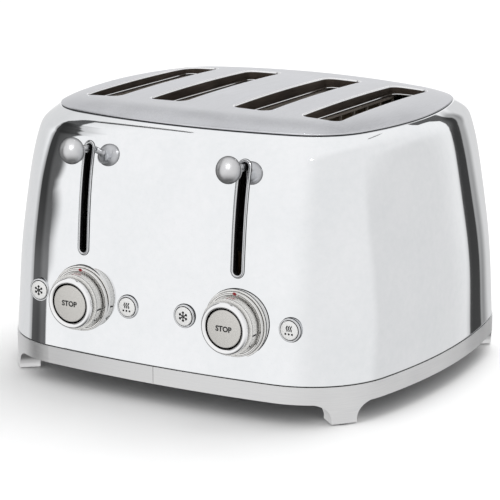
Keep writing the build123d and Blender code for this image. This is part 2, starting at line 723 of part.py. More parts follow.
def small_button(x):
    back = front_y(x, DIAL_Z) - BUTTON_FACE + BUTTON_BODY
    cap = rounded_front(rod_y(x, DIAL_Z, back - BUTTON_BODY, back, BUTTON_R), BUTTON_ROUND)
    end = BOARD_Y - SWITCH_H - RUN_GAP - BUTTON_TRAVEL
    return cap + rod_y(x, DIAL_Z, back, end, BUTTON_STEM_R)


def control_board(side):
    """Board with the browning control behind the dial and a switch behind each button."""
    x = side * SIDE_X
    board = block(x - BOARD_HALF, x + BOARD_HALF, BOARD_Y, BOARD_Y + BOARD_T,
                  BOARD_Z[0], BOARD_Z[1])
    board += rod_y(x, DIAL_Z, BOARD_Y, BOARD_Y - POT_H, POT_R)
    for off in (-BUTTON_OFF, BUTTON_OFF):
        board += block(x + off - SWITCH_HALF, x + off + SWITCH_HALF, BOARD_Y,
                       BOARD_Y - SWITCH_H, DIAL_Z - SWITCH_HALF, DIAL_Z + SWITCH_HALF)
    for post in POST_X:
        for z in POST_Z:
            board -= rod_y(side * post, z, BOARD_Y + BOARD_T, BOARD_Y, POST_HOLE_R)
    return board


def cord_inlet(outer):
    """Bush in the rear wall that the cord would pass through."""
    end = INLET_RIM_H - front_y(0, INLET_Z)
    ring = rod_y(0, INLET_Z, end - INLET_RIM_H, end, INLET_RIM_R) - outer
    ring += rod_y(0, INLET_Z, end - INLET_LEN, end, INLET_HUB_R)
    return ring - rod_y(0, INLET_Z, end - 2 * INLET_LEN, end + INLET_RIM_H, INLET_R)


def main():
    os.makedirs("parts", exist_ok=True)
    outer = body_solid()
    save(outer_shell(outer), "outer_shell")
    save(top_plate(), "top_plate")
    save(foot_pads(), "foot_pads")
    save(base_pan(), "base_pan")
    save(base_screws(), "base_screws")
    save(chassis_front(), "chassis_front")
    save(chassis_rear(), "chassis_rear")
    save(chassis_centre(), "chassis_centre")
    save(cord_inlet(outer), "cord_inlet")
    for side, word in SIDES.items():
        save(base_band(side), "base_band_" + word)
        save(crumb_tray(side), "crumb_tray_" + word)
        save(carriage(side), "carriage_" + word)
        save(lever_arm(side), "lever_arm_" + word)
        save(lever_ball(side), "lever_ball_" + word)
        save(lever_bezel(side, outer), "lever_bezel_" + word)
        save(guide_rod(side), "guide_rod_" + word)
        save(carriage_spring(side), "carriage_spring_" + word)
        save(magnet(side), "magnet_" + word)
        save(dial_collar(side, outer), "dial_collar_" + word)
        save(dial(side), "dial_" + word)
        save(stop_button(side), "stop_button_" + word)
        save(control_board(side), "control_board_" + word)
        for place, x in zip(("inner", "middle", "outer"), HEATER_X):
            save(heater(side * x), "heater_" + place + "_" + word)
        for place, x in zip(("inner", "outer"), SLOT_X):
            save(bread_guide(side * x - GUIDE_OFF), "guide_a_" + place + "_" + word)
            save(bread_guide(side * x + GUIDE_OFF), "guide_b_" + place + "_" + word)
    for kind, word, x in button_places():
        save(small_button(x), kind + "_button_" + word)
        save(button_bezel(x, outer), kind + "_bezel_" + word)


main()
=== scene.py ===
import math

import bmesh
import bpy
import numpy as np
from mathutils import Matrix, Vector


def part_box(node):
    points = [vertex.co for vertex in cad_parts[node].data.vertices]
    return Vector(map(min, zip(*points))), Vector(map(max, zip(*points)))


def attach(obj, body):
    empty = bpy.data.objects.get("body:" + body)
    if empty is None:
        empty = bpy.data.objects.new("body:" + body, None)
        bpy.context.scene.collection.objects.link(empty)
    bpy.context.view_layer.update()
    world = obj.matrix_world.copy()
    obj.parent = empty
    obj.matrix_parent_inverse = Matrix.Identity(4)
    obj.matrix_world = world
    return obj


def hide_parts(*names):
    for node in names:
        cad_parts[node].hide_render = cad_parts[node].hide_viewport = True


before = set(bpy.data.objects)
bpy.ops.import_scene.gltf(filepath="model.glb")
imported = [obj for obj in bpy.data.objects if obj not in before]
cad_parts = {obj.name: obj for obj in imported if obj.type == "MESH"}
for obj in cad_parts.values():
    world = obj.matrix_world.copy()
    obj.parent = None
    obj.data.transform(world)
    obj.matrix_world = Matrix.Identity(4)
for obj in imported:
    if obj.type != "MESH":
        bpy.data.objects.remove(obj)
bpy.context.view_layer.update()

# Looks of the four-slot retro toaster. Places are in millimetres from the middle of the
# body on the worktop, as in the part's source; to_frame() turns them into the frame's metres.

MM = 0.001
shell_low, shell_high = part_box("outer_shell")
BACK = (shell_low.y + shell_high.y) / 2 / MM   # how far the body's middle stands behind the origin
SIDES = {-1: "left", 1: "right"}

# Body form, the same as in the part's source
SEAM_Z = 29.0             # joint between the base band and the wall
RIM_Z = 203.15            # where the wall turns in under the plate
TOP_Z = 214.0
BODY_HALF_W = 168.4
BODY_HALF_D = 152.35
SIDE_BOW = (26.8, 4.2)    # bulge of a side at the seam, and what it gains up to the rim
FRONT_BOW = (15.0, 10.0)
CORNER_R = (70.2, -18.2)
# share of the height from seam to rim, and how far the sides and the front have leant in there
PROFILE = np.array([
    (0.0, 0.0, 0.0),
    (0.12, 0.2, 2.6),
    (0.25, 0.9, 4.6),
    (0.41, 3.3, 5.6),
    (0.55, 6.4, 7.0),
    (0.69, 9.6, 9.2),
    (0.82, 12.8, 12.7),
    (0.91, 16.0, 16.3),
    (0.96, 19.5, 21.4),
    (1.0, 25.5, 33.5),
])
SHELL_T = 1.2
LEDGE = 8.6
SEAM_SHADE_HEIGHT = 0.9                # height of the black strip painted in the seam as its shade
SEAM_SHADE_IN = 0.55            # how far it lies behind the wall's face
SOFT_EDGE = 0.85          # height over which the wall's lower edge turns in

# Up to which angle the wall's columns go, and how far apart: they lie closest together over the
# lever slots
COLUMN_STEPS = ((22.0, 1.5), (59.6, 0.62), (68.4, 0.42), (90.0, 1.3))

# Top plate
PLATE_STEP = 0.6          # how far the plate's edge stands in from the body's outline
PLATE_GAP = 0.85          # height of the plate's lower edge over the rim
DOME_R = 2200.0
DOME_FALL = 0.058         # slope of the dome where the edge's slope meets it
EDGE_LOW = RIM_Z + 1.6    # upper edge of the plate's upright side
EDGE_SLOPE = 0.42
EDGE_R = 60.0
EDGE_ZONE = 10.0          # width of the outermost part of the mesh
ROLL = (0.9, 0.6)         # width and drop of the rolled edge
LIP_R = 1.3
SLOT_X = (36.4, 94.7)
SLOT_MID = 65.55          # line between the two slots of a side
SLOT_HALF_W = 15.5
SLOT_HALF_L = 75.0
SLOT_R = 7.0
CORNER_SHARE = 0.58       # how far round the corner the outer slot's front stretch ends
COLLAR_Z = TOP_Z - 10.5   # lower edge of the collar in each slot
BEAD_Z = TOP_Z - 9.5      # bead rolled round the inside of each slot
# Inside of a slot below its lip: how far out of its loop, height, and place in PLATE_LOOKS of the
# strip that ends there
SLOT_WALL = (
    # the first strip, place 1, is the collar steel painted darker as the shade inside the slot
    (0.0, BEAD_Z + 0.5, 1),
    (-0.35, BEAD_Z + 0.38, 3),
    (-0.5, BEAD_Z, 3),
    (-0.35, BEAD_Z - 0.38, 3),
    (0.0, BEAD_Z - 0.5, 3),
    (0.0, COLLAR_Z + 0.3, 4),
    (0.3, COLLAR_Z, 4),
    (1.2, COLLAR_Z, 4),
    (1.2, COLLAR_Z + 4, 1),
)

# Levers, dials and buttons
SIDE_X = 66.7             # middle of a side's lever and dial
DIAL_Z = 70.0
BUTTON_OFF = 42.1
SLOT_Z = (103.1, 187.8)   # foot and top of a lever slot's rim
RIM_HALF = 5.25           # half the width of that rim
SLOT_CUT = 4.2            # half the width of the opening in the wall behind it
BALL_Z = 184.25
BALL_R = 9.0
BALL_TALL = 1.11
BALL_OUT = 4.5            # from the neck's flared end to the ball's middle
STEM_Z = 183.45
NECK_GAP = 1.6            # from the body to the neck
NECK = 5.9
BAND_R = 21.0             # the dial's numbered band
PRINT = 0.04              # how proud print lies
SIGN_LINE = 0.95          # width of the signs' strokes
FIRST_NUMBER = 100.0      # degrees from the top, clockwise
NUMBER_STEP = 26.0
AROUND = 96               # points round a turned piece


def to_frame(points):
    """Millimetres from the body's middle as metres in the frame."""
    return (np.asarray(points, float) + (0.0, BACK, 0.0)) * MM


def spline(x, y):
    """Natural cubic spline through points, as a function of whole arrays: m is its bend at each."""
    n = len(x)
    h = np.diff(x)
    a = np.eye(n)
    b = np.zeros(n)
    for i in range(1, n - 1):
        a[i, i - 1:i + 2] = h[i - 1], 2 * (h[i - 1] + h[i]), h[i]
        b[i] = 6 * ((y[i + 1] - y[i]) / h[i] - (y[i] - y[i - 1]) / h[i - 1])
    m = np.linalg.solve(a, b)

    def value(t):
        k = np.clip(np.searchsorted(x, t) - 1, 0, n - 2)
        u = t - x[k]
        w = x[k + 1] - t
        cubic = (m[k] * w ** 3 + m[k + 1] * u ** 3) / (6 * h[k])
        return cubic + (y[k] / h[k] - m[k] * h[k] / 6) * w + (y[k + 1] / h[k] - m[k + 1] * h[k] / 6) * u
    return value


SIDE_IN = spline(PROFILE[:, 0], PROFILE[:, 1])
FRONT_IN = spline(PROFILE[:, 0], PROFILE[:, 2])


def level(z, inward=0.0):
    """Half width, half depth, two bows and corner radius of the body's outline at a height."""
    t = (z - SEAM_Z) / (RIM_Z - SEAM_Z)
    return (BODY_HALF_W - SIDE_IN(t) - inward, BODY_HALF_D - FRONT_IN(t) - inward,
            SIDE_BOW[0] + SIDE_BOW[1] * t, FRONT_BOW[0] + FRONT_BOW[1] * t,
            CORNER_R[0] + CORNER_R[1] * t - inward)


def outline(phi, half_w, half_d, bow_side, bow_front, corner):
    """Where the ray at angle phi meets an outline of four shallow arcs and four corner arcs that
    touch them: the far crossing of the ray with the circle of the arc that it falls on."""
    r_f = (half_w ** 2 + bow_front ** 2) / (2 * bow_front)
    r_s = (half_d ** 2 + bow_side ** 2) / (2 * bow_side)
    f_y = half_d - r_f
    s_x = half_w - r_s
    gap = np.hypot(s_x, f_y)
    along = (gap ** 2 + (r_f - corner) ** 2 - (r_s - corner) ** 2) / (2 * gap)
    across = np.sqrt((r_f - corner) ** 2 - along ** 2)
    c_x = (along * s_x - across * f_y) / gap
    c_y = f_y - (along * f_y + across * s_x) / gap
    to_f = np.arctan2(c_y - f_y, c_x)
    to_s = np.arctan2(c_y, c_x - s_x)
    end_f = np.arctan2(f_y + r_f * np.sin(to_f), r_f * np.cos(to_f))
    end_s = np.arctan2(r_s * np.sin(to_s), s_x + r_s * np.cos(to_s))
    ray_x = np.abs(np.cos(phi))
    ray_y = np.abs(np.sin(phi))
    turn = np.arctan2(ray_y, ray_x)
    on_side = turn < end_s
    on_corner = (turn < end_f) & ~on_side
    o_x = np.where(on_side, s_x, np.where(on_corner, c_x, 0.0))
    o_y = np.where(on_side, 0.0, np.where(on_corner, c_y, f_y))
    rad = np.where(on_side, r_s, np.where(on_corner, corner, r_f))
    b = ray_x * o_x + ray_y * o_y
    reach = b + np.sqrt(b ** 2 - o_x ** 2 - o_y ** 2 + rad ** 2)
    return reach * np.cos(phi), reach * np.sin(phi)


def face_y(x, z):
    """Y of the body's front face: the arc with the front's bow over the body's width."""
    half_w, half_d, _, bow, _ = level(z)
    radius = (half_w ** 2 + bow ** 2) / (2 * bow)
    return -(half_d - radius + np.sqrt(radius ** 2 - np.asarray(x, float) ** 2))


def grid_faces(rows, cols, round_rows=False, round_cols=False):
    """Four-sided faces of a grid of points; a round direction also joins its last to its first."""
    r = np.arange(rows if round_rows else rows - 1)
    c = np.arange(cols if round_cols else cols - 1)
    a, b = np.meshgrid(r, c, indexing="ij")
    a2 = (a + 1) % rows
    b2 = (b + 1) % cols
    quads = np.stack([a * cols + b, a * cols + b2, a2 * cols + b2, a2 * cols + b], -1)
    return quads.reshape(-1, 4)


def carried(name, mesh, body):
    """Object for a mesh, riding on a body."""
    obj = bpy.data.objects.new(name, mesh)
    bpy.context.scene.collection.objects.link(obj)
    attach(obj, body)
    return obj


def surface(name, patches, materials, body, stands_for=(), sharp=35.0, closed=True):
    """One object from patches, each its points, its faces and its material's place in the list.
    Seams are merged, and a closed one has its faces turned outwards."""
    points = []
    faces = []
    marks = []
    count = 0
    for grid, quads, mark in patches:
        flat = np.asarray(grid, float).reshape(-1, 3)
        points.append(flat)
        faces.append(np.asarray(quads) + count)
        marks.append(np.full(len(quads), mark))
        count += len(flat)
    mesh = bpy.data.meshes.new(name)
    mesh.from_pydata(to_frame(np.vstack(points)).tolist(), [], np.vstack(faces).tolist())
    mesh.polygons.foreach_set("material_index", np.concatenate(marks).astype(np.int32))
    for material in materials:
        mesh.materials.append(material)
    work = bmesh.new()
    work.from_mesh(mesh)
    bmesh.ops.remove_doubles(work, verts=work.verts, dist=2e-6)
    bmesh.ops.dissolve_degenerate(work, edges=work.edges, dist=1e-6)
    if closed:
        bmesh.ops.recalc_face_normals(work, faces=work.faces)
    work.to_mesh(mesh)
    work.free()
    mesh.shade_smooth()
    mesh.set_sharp_from_angle(angle=math.radians(sharp))
    obj = carried(name, mesh, body)
    if stands_for:
        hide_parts(*stands_for)
    return obj


def turned(profile, x, z, face, around=AROUND):
    """Profile of radius and height, carried round the axis through (x, z) that points out of the
    front."""
    profile = np.asarray(profile, float)
    angle = np.linspace(0, 2 * np.pi, around, endpoint=False)
    r = profile[:, :1]
    h = profile[:, 1:]
    grid = np.stack([x + r * np.cos(angle), face - h + 0 * angle, z + r * np.sin(angle)], -1)
    return grid, grid_faces(len(profile), around, round_cols=True)


def arc(centre, radius, start, end, steps=6):
    """Points of a profile's rounded corner, angles in degrees from the outward radius."""
    a = np.radians(np.linspace(start, end, steps))
    return [(centre[0] + radius * math.cos(t), centre[1] + radius * math.sin(t)) for t in a]


# Materials

def linear(hexes):
    """Colour from its sRGB hex value."""
    c = np.array([int(hexes[i:i + 2], 16) for i in (0, 2, 4)]) / 255
    c = np.where(c <= 0.04045, c / 12.92, ((c + 0.055) / 1.055) ** 2.4)
    return (*c.tolist(), 1.0)


def add(tree, kind, inputs=None, **settings):
    """Adds a shader node; inputs are values or the sockets of other nodes, by name or number."""
    node = tree.nodes.new(kind)
    for key, value in settings.items():
        setattr(node, key, value)
    for key, value in (inputs or {}).items():
        socket = node.inputs[key]
        if isinstance(value, bpy.types.NodeSocket):
            tree.links.new(value, socket)
        else:
            socket.default_value = value
    return node


def worked(name, low, high, rough, metallic, grain, stretch=(1, 1, 1), bump=0.0, edge=None):
    """Finish made of one stretched grain, in the grain's millimetres, and a wide cloud: together
    they move its colour and gloss, and the grain alone its height. Edge is what a metal mirrors
    where it is seen at a slant."""
    material = bpy.data.materials.new(name)
    material.use_nodes = True
    tree = material.node_tree
    tree.nodes.clear()
    out = add(tree, "ShaderNodeOutputMaterial")
    shader = add(tree, "ShaderNodeBsdfPrincipled", {"Metallic": metallic})
    tree.links.new(shader.outputs[0], out.inputs["Surface"])
    if edge:
        shader.inputs["Specular Tint"].default_value = linear(edge)
    place = add(tree, "ShaderNodeTexCoord").outputs["Object"]
    scale = tuple(1 / (grain * MM * s) for s in stretch)
    scaled = add(tree, "ShaderNodeMapping", {"Vector": place, "Scale": scale})
    fine = add(tree, "ShaderNodeTexNoise", {"Vector": scaled.outputs[0], "Scale": 1.0, "Detail": 4.0,
                                            "Roughness": 0.6})
    wide = add(tree, "ShaderNodeTexNoise", {"Vector": place, "Scale": 22.0, "Detail": 2.0})
    both = add(tree, "ShaderNodeMath", {0: fine.outputs[0], 1: wide.outputs[0]}, operation="ADD")
    both = add(tree, "ShaderNodeMapRange", {"Value": both.outputs[0], "From Min": 0.7, "From Max": 1.3})
    colour = add(tree, "ShaderNodeMix", {"Factor": both.outputs[0], "A": linear(low), "B": linear(high)},
                 data_type="RGBA")
    tree.links.new(colour.outputs["Result"], shader.inputs["Base Color"])
    gloss = add(tree, "ShaderNodeMapRange", {"Value": both.outputs[0], "To Min": rough[0],
                                             "To Max": rough[1]})
    tree.links.new(gloss.outputs[0], shader.inputs["Roughness"])
    if bump:
        height = add(tree, "ShaderNodeBump", {"Height": fine.outputs[0], "Strength": 1.0,
                                              "Distance": bump * MM})
        tree.links.new(height.outputs[0], shader.inputs["Normal"])
    return material


def lacquered(look, film, film_ior):
    """A clear tinted film over a metal: it takes more light where it is crossed at a slant."""
    shader = look.node_tree.nodes["Principled BSDF"]
    shader.inputs["Coat Weight"].default_value = 1.0
    shader.inputs["Coat IOR"].default_value = film_ior
    shader.inputs["Coat Roughness"].default_value = 0.3
    shader.inputs["Coat Tint"].default_value = linear(film)
    return look


# Polished chrome plate: a clear, slightly cool mirror whose gloss is only just clouded by wiping.
POLISHED_CHROME = worked("polished_chrome", "EBEDEF", "F1F2F4", (0.015, 0.05), 1.0, 6.0)
# The same plate on small turned pieces, a little brighter.
TURNED_CHROME = worked("turned_chrome", "EEEEEF", "F5F5F5", (0.03, 0.08), 1.0, 3.0)
# Brushed steel sheet: grey, with fine straight lines that blur what it mirrors. The real lines
# are about 0.05 mm wide; these are drawn coarser so that they still show.
BRUSHED_PLATE = worked("brushed_steel_plate", "C6C7CB", "DDDEE2", (0.30, 0.44), 1.0, 0.5,
                       (1, 60, 1), 0.006)
BRUSHED_BAND = worked("brushed_steel_band", "D8D8D9", "E6E6E6", (0.28, 0.42), 1.0, 0.5,
                      (40, 40, 1), 0.004)
# Ball of satin chrome under a clear film: softly clouded, and dark where it turns away, so that
# it shades round.
SATIN_BALL = lacquered(worked("satin_chrome_ball", "F6F6F8", "FCFCFD", (0.34, 0.40), 1.0, 2.0,
                              edge="000000"), "E0E0E0", 1.02)
# Metallic lacquer over the small buttons' moulded caps: a pale silver with a soft gloss.
BUTTON_FACE = worked("satin_button_face", "EBEBEA", "F4F4F3", (0.30, 0.42), 0.8, 0.5)
# Chrome dulled by a fine brush: the rims of the lever slots and of the small buttons.
DULL_CHROME = worked("dull_chrome_rim", "CFD0D2", "E0E1E3", (0.12, 0.20), 1.0, 1.0, edge="8E8F91")
# Satin-turned metal of the fixed collars: it mirrors the room as soft bands.
SATIN_COLLAR = worked("satin_metal_collar", "E2E1DF", "EFEEEC", (0.16, 0.26), 1.0, 1.5)
# Metallic lacquer over the moulded stop buttons: a satin warm grey with no clear reflection.
SATIN_FACE = worked("satin_metal_face", "CFCDC9", "DDDBD7", (0.34, 0.46), 0.85, 0.5)
# Pale lacquer under the dials' numbers: nearly white, with a little metal in it.
NUMBER_BAND = worked("pale_satin_band", "DEDDDA", "E9E8E5", (0.24, 0.34), 0.35, 2.0)
# Pad-printed inks: flat colour with barely any gloss.
BLACK_INK = worked("black_print", "141414", "262626", (0.45, 0.6), 0.0, 0.8)
RED_INK = worked("red_print", "8E0F1C", "A81B29", (0.6, 0.75), 0.0, 0.8)
# Edge of each slot, polished where the toast rubs it.
SLOT_LIP = worked("polished_slot_lip", "E2E3E5", "F2F2F3", (0.08, 0.16), 1.0, 2.0)
# Steel of the slots' collars, browned by heat and dull; the darker copy on the upper strip is painted shade
# from inside the slot.
WARM_STEEL = worked("heat_browned_steel", "867C75", "9C938B", (0.35, 0.5), 0.9, 1.2, (1, 12, 1))
BROWNED_STEEL_PAINTED_SHADE = worked("browned_steel_painted_shade", "473F39", "625850", (0.42, 0.6), 0.9, 1.2, (1, 12, 1))
# Moulded rubber of the pads: matt black, a little uneven.
RUBBER = worked("black_rubber", "17171A", "26262A", (0.75, 0.9), 0.0, 0.7, bump=0.02)
# Powder-coated sheet of the base pan: dark grey, matt and finely grained.
COATED_SHEET = worked("grey_coated_sheet", "232427", "303236", (0.5, 0.65), 0.2, 0.6, bump=0.01)
# Zinc-plated screws: pale, with a soft shine.
ZINC_SCREW = worked("zinc_plated_screw", "B5B6B3", "CBCBC6", (0.25, 0.4), 1.0, 0.5)
# Aluminised sheet of the chassis: grey and cloudy.
ALUMINISED = worked("aluminised_sheet", "8D8C8A", "A8A6A2", (0.38, 0.55), 1.0, 3.0, bump=0.01)
# Flat black painted as the shade in joints, gaps and grooves: a fine dark line with hardly any shine.
PAINTED_GAP_SHADE = worked("black_painted_gap_shade", "0C0C0D", "161617", (0.5, 0.65), 0.0, 0.6)
# Moulded black plastic of the cord inlet: finely grained, low gloss.
BLACK_PLASTIC = worked("black_moulded_plastic", "151516", "232324", (0.45, 0.58), 0.0, 0.5, bump=0.01)
# Brushed steel of the crumb trays: grey, with lines from side to side.
TRAY_STEEL = worked("brushed_tray_steel", "A6A7A9", "C2C3C4", (0.3, 0.45), 1.0, 0.6, (60, 1, 1))
# Bright drawn steel of rods, arms and carriages: a soft mirror.
BRIGHT_STEEL = worked("bright_steel", "B4B5B7", "CCCDCE", (0.22, 0.35), 1.0, 0.8, (1, 1, 20))
# Oiled spring steel: dark grey, softly shining.
SPRING_STEEL = worked("oiled_spring_steel", "6F7073", "8B8C8F", (0.28, 0.4), 1.0, 0.6)
# Varnished copper winding: red brown, with the turns of its wire as fine level ridges.
COPPER_COIL = worked("varnished_copper_coil", "7C3E22", "A4592F", (0.25, 0.4), 0.9, 0.35,
                     (20, 20, 1), 0.05)
# Printed board under its green mask: dark green, half glossy.
BOARD_GREEN = worked("printed_board", "0F3B26", "1B5A3A", (0.35, 0.5), 0.0, 1.5, (4, 1, 1))
# Wire of the bread guides, tinted by heat: warm grey, dull.
GUIDE_STEEL = worked("heat_tinted_wire", "B5ABA1", "D0C7BD", (0.3, 0.48), 0.7, 2.0)
# Mica sheet of the heaters: brown, in cloudy layers.
MICA = worked("mica_sheet", "6B5B47", "8D7C65", (0.35, 0.5), 0.1, 4.0, (1, 3, 1))

# Place 1 is the collar steel painted darker as the shade inside each slot; place 2 is flat black painted as
# shade in the gap under the edge.
PLATE_LOOKS = [BRUSHED_PLATE, BROWNED_STEEL_PAINTED_SHADE, PAINTED_GAP_SHADE, SLOT_LIP, WARM_STEEL]

CAD_LOOKS = {
    "outer_shell": POLISHED_CHROME, "top_plate": BRUSHED_PLATE, "base_band": BRUSHED_BAND,
    "foot_pads": RUBBER, "base_pan": COATED_SHEET, "base_screws": ZINC_SCREW,
    "chassis": ALUMINISED, "cord_inlet": BLACK_PLASTIC, "crumb_tray": TRAY_STEEL,
    "carriage_spring": SPRING_STEEL, "carriage": BRIGHT_STEEL, "lever_arm": BRIGHT_STEEL,
    "lever_ball": TURNED_CHROME, "lever_bezel": TURNED_CHROME, "guide_rod": BRIGHT_STEEL,
    "magnet": COPPER_COIL, "dial_collar": SATIN_COLLAR, "dial": TURNED_CHROME,
    "stop_button": SATIN_FACE, "control_board": BOARD_GREEN, "heater": MICA, "guide": GUIDE_STEEL,
    "defrost_button": BUTTON_FACE, "reheat_button": BUTTON_FACE,
    "defrost_bezel": TURNED_CHROME, "reheat_bezel": TURNED_CHROME,
}


def paint_cad_nodes():
    """Every CAD node takes the finish whose name its own name starts with, the longest first."""
    words = sorted(CAD_LOOKS, key=len, reverse=True)
    for name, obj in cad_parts.items():
        look = next(CAD_LOOKS[word] for word in words if name.startswith(word))
        for place in obj.material_slots:
            place.material = look


# Body

def column_angles():
    """Angles round the body: one quarter's columns, and the same mirrored into the others."""
    angles = [0.0]
    while angles[-1] < 90:
        step = next(step for end, step in COLUMN_STEPS if angles[-1] < end)
        angles.append(angles[-1] + step)
    quarter = np.array(angles) * 90 / angles[-1]
    turn = np.concatenate([quarter, 180 - quarter[-2::-1]])
    return np.radians(np.concatenate([turn, 360 - turn[-2:0:-1]]))


def body_ring(phi, shape_z, inward, z):
    """Ring at height z, with the shape that the body's outline has at another height."""
    x, y = outline(phi, *level(shape_z, inward))
    return np.stack([x, y, np.full_like(x, z)], -1)


def body_shell():
    """Wall: the outline at each height from the seam to the rim, turned in to a ledge and carried
    back down inside. Its faces over the lever slots are left out, and a strip of flat black is painted in
    its seam as the seam's shade."""
    phi = column_angles()
    rise = np.concatenate([[0.45, 0.6, 0.85], np.linspace(1.3, 72, 26), np.linspace(73.1, 160, 76),
                           np.linspace(161, 173.2, 20), [173.75, RIM_Z - SEAM_Z]])
    rows = [body_ring(phi, z, max(0.0, SEAM_Z + SOFT_EDGE - z), z) for z in SEAM_Z + rise]
    rows += [body_ring(phi, RIM_Z, LEDGE, z) for z in (RIM_Z, RIM_Z - SHELL_T)]
    back_down = SEAM_Z + np.minimum(rise[::-2], RIM_Z - SHELL_T - SEAM_Z)
    rows += [body_ring(phi, z, SHELL_T, z) for z in back_down]
    grid = np.array(rows)
    quads = grid_faces(len(rows), len(phi), round_rows=True, round_cols=True)
    centre = grid.reshape(-1, 3)[quads].mean(1)
    z = np.clip(centre[:, 2], SLOT_Z[0] + RIM_HALF, SLOT_Z[1] - RIM_HALF)
    off = np.hypot(np.abs(centre[:, 0]) - SIDE_X, centre[:, 2] - z)
    wall = quads[(off >= SLOT_CUT) | (centre[:, 1] >= 0)]
    # Strip of flat black in the seam: painted shade in the joint.
    corners = ((SEAM_Z + SEAM_SHADE_HEIGHT, SEAM_SHADE_HEIGHT), (SEAM_Z + SEAM_SHADE_HEIGHT, SEAM_SHADE_IN), (SEAM_Z, SEAM_SHADE_IN), (SEAM_Z, SEAM_SHADE_HEIGHT))
    shade_strip = np.array([body_ring(phi, z, inward, z) for z, inward in corners])
    shade_strip_faces = grid_faces(4, len(phi), round_rows=True, round_cols=True)
    return surface("chrome_body_wall", [(grid, wall, 0), (shade_strip, shade_strip_faces, 1)],
                   [POLISHED_CHROME, PAINTED_GAP_SHADE], "housing",
                   ["outer_shell"], sharp=50)


# Top plate

def top_height(x, y, inward):
    """Height of the plate's top at a distance in from its edge: a straight slope that a wide arc
    turns into the dome, which is part of a ball."""
    dome = TOP_Z - DOME_R + np.sqrt(DOME_R ** 2 - x ** 2 - y ** 2)
    slope = EDGE_LOW + EDGE_SLOPE * inward
    turn = EDGE_SLOPE - DOME_FALL
    half = EDGE_R * turn / 2
    along = (dome - slope) / turn
    rounded = slope - (half - along) ** 2 / (2 * EDGE_R)
    return np.where(along > half, slope, np.where(along < -half, dome, rounded))


def edge_ring(phi, inward):
    """Ring on the plate's top at a distance inward from its outline."""
    x, y = outline(phi, *level(RIM_Z, PLATE_STEP + inward))
    return np.column_stack([x, y, top_height(x, y, inward)])


def plate_z(points):
    """Height of the plate's top over points in plan. How far in a point lies is read along its
    own ray, between the nearest two of many outlines, each half a millimetre inside the last."""
    phi = np.arctan2(points[:, 1], points[:, 0])
    reach = np.hypot(points[:, 0], points[:, 1])
    deep = np.linspace(0.0, 34.0, 69)
    rings = np.array([np.hypot(*outline(phi, *level(RIM_Z, PLATE_STEP + d))) for d in deep])
    k = np.clip((rings > reach).sum(0) - 1, 0, len(deep) - 2)
    each = np.arange(len(points))
    share = (rings[k, each] - reach) / (rings[k, each] - rings[k + 1, each])
    # past the last outline the dome alone counts, so a point there need not be read farther in
    far = 40.0
    inward = deep[k] + np.minimum(share, far) * (deep[1] - deep[0])
    return top_height(points[:, 0], points[:, 1], inward)


def between(a, b, share):
    """Unit vectors turned from a to b by a share of the angle between them."""
    angle = np.arccos(np.clip((a * b).sum(-1, keepdims=True), -1, 1))
    return (np.sin((1 - share) * angle) * a + np.sin(share * angle) * b) / np.sin(angle)


def slot_loop():
    """Rounded rectangle round a bread slot's middle, from the middle of its front right corner:
    each of four sides is half a corner, a straight and half a corner. Also gives its outward
    normals and how many points each side has."""
    half_corner = np.radians(np.linspace(0, 45, 9)[1:])
    points = []
    normals = []
    counts = []
    for number in range(4):
        long_side = number % 2 == 0
        flat, half = SLOT_HALF_W - SLOT_R, SLOT_HALF_L - SLOT_R
        if not long_side:
            flat, half = half, flat
        turn = number * math.pi / 2
        out = np.array([math.cos(turn), math.sin(turn)])
        along = np.array([-math.sin(turn), math.cos(turn)])
        straight = np.linspace(-1, 1, 40 if long_side else 8)
        ends = np.ones(len(half_corner))
        angle = np.concatenate([-half_corner[::-1], 0 * straight, half_corner])
        slide = np.concatenate([-ends, straight, ends])
        normal = np.outer(np.cos(angle), out) + np.outer(np.sin(angle), along)
        side = out * flat + np.outer(slide * half, along) + SLOT_R * normal
        counts.append(len(side) - 1)
        points.append(side[:-1])
        normals.append(normal[:-1])
    return np.vstack(points), np.vstack(normals), counts


def border_ends(cell, front_mid, back_mid, whole):
    """Where each of a loop's four sides starts and ends on the right half of the rim, as lengths
    from the front. The inner cell ends at the plate's middle line; the outer one goes round."""
    if cell == 0:
        return (front_mid, back_mid), (back_mid, whole), (whole, 0.0), (0.0, front_mid)
    front = front_mid + (whole / 2 - front_mid) * (1 - CORNER_SHARE)
    back = whole - front
    return (front, back), (back, back_mid), (back_mid, front_mid), (front_mid, front)


def cell_border(cell, loop, counts, rim):
    """Border of the plate's part round one slot, point for point with the slot's loop: each side
    of the loop is spread along the rim, or straight across the plate where two parts meet."""
    right = rim[rim[:, 0] >= 0]
    right = right[np.argsort(right[:, 1])]
    lengths = np.concatenate([[0], np.cumsum(np.linalg.norm(np.diff(right[:, :2], axis=0), axis=1))])

    def at(length):
        return np.stack([np.interp(length, lengths, right[:, i]) for i in (0, 1)], -1)

    def crossing(half):
        order = np.argsort(right[half][:, 0])
        return np.interp(SLOT_MID, right[half][order, 0], lengths[half][order])

    ends = border_ends(cell, crossing(right[:, 1] < 0), crossing(right[:, 1] > 0), lengths[-1])
    shared_sides = (0, 2) if cell == 0 else (2,)
    starts = np.concatenate([[0], np.cumsum(counts)])
    ring = np.vstack([loop, loop[:1]])
    border = []
    for number, (first, last) in enumerate(ends):
        part = ring[starts[number]:starts[number + 1] + 1]
        axis = 1 if number % 2 == 0 else 0
        share = (part[:, axis] - part[0, axis]) / (part[-1, axis] - part[0, axis])
        if number in shared_sides:
            line = at(first) + share[:, None] * (at(last) - at(first))
        else:
            line = at(first + share * (last - first))
        border.append(line[:-1])
    return np.vstack(border)


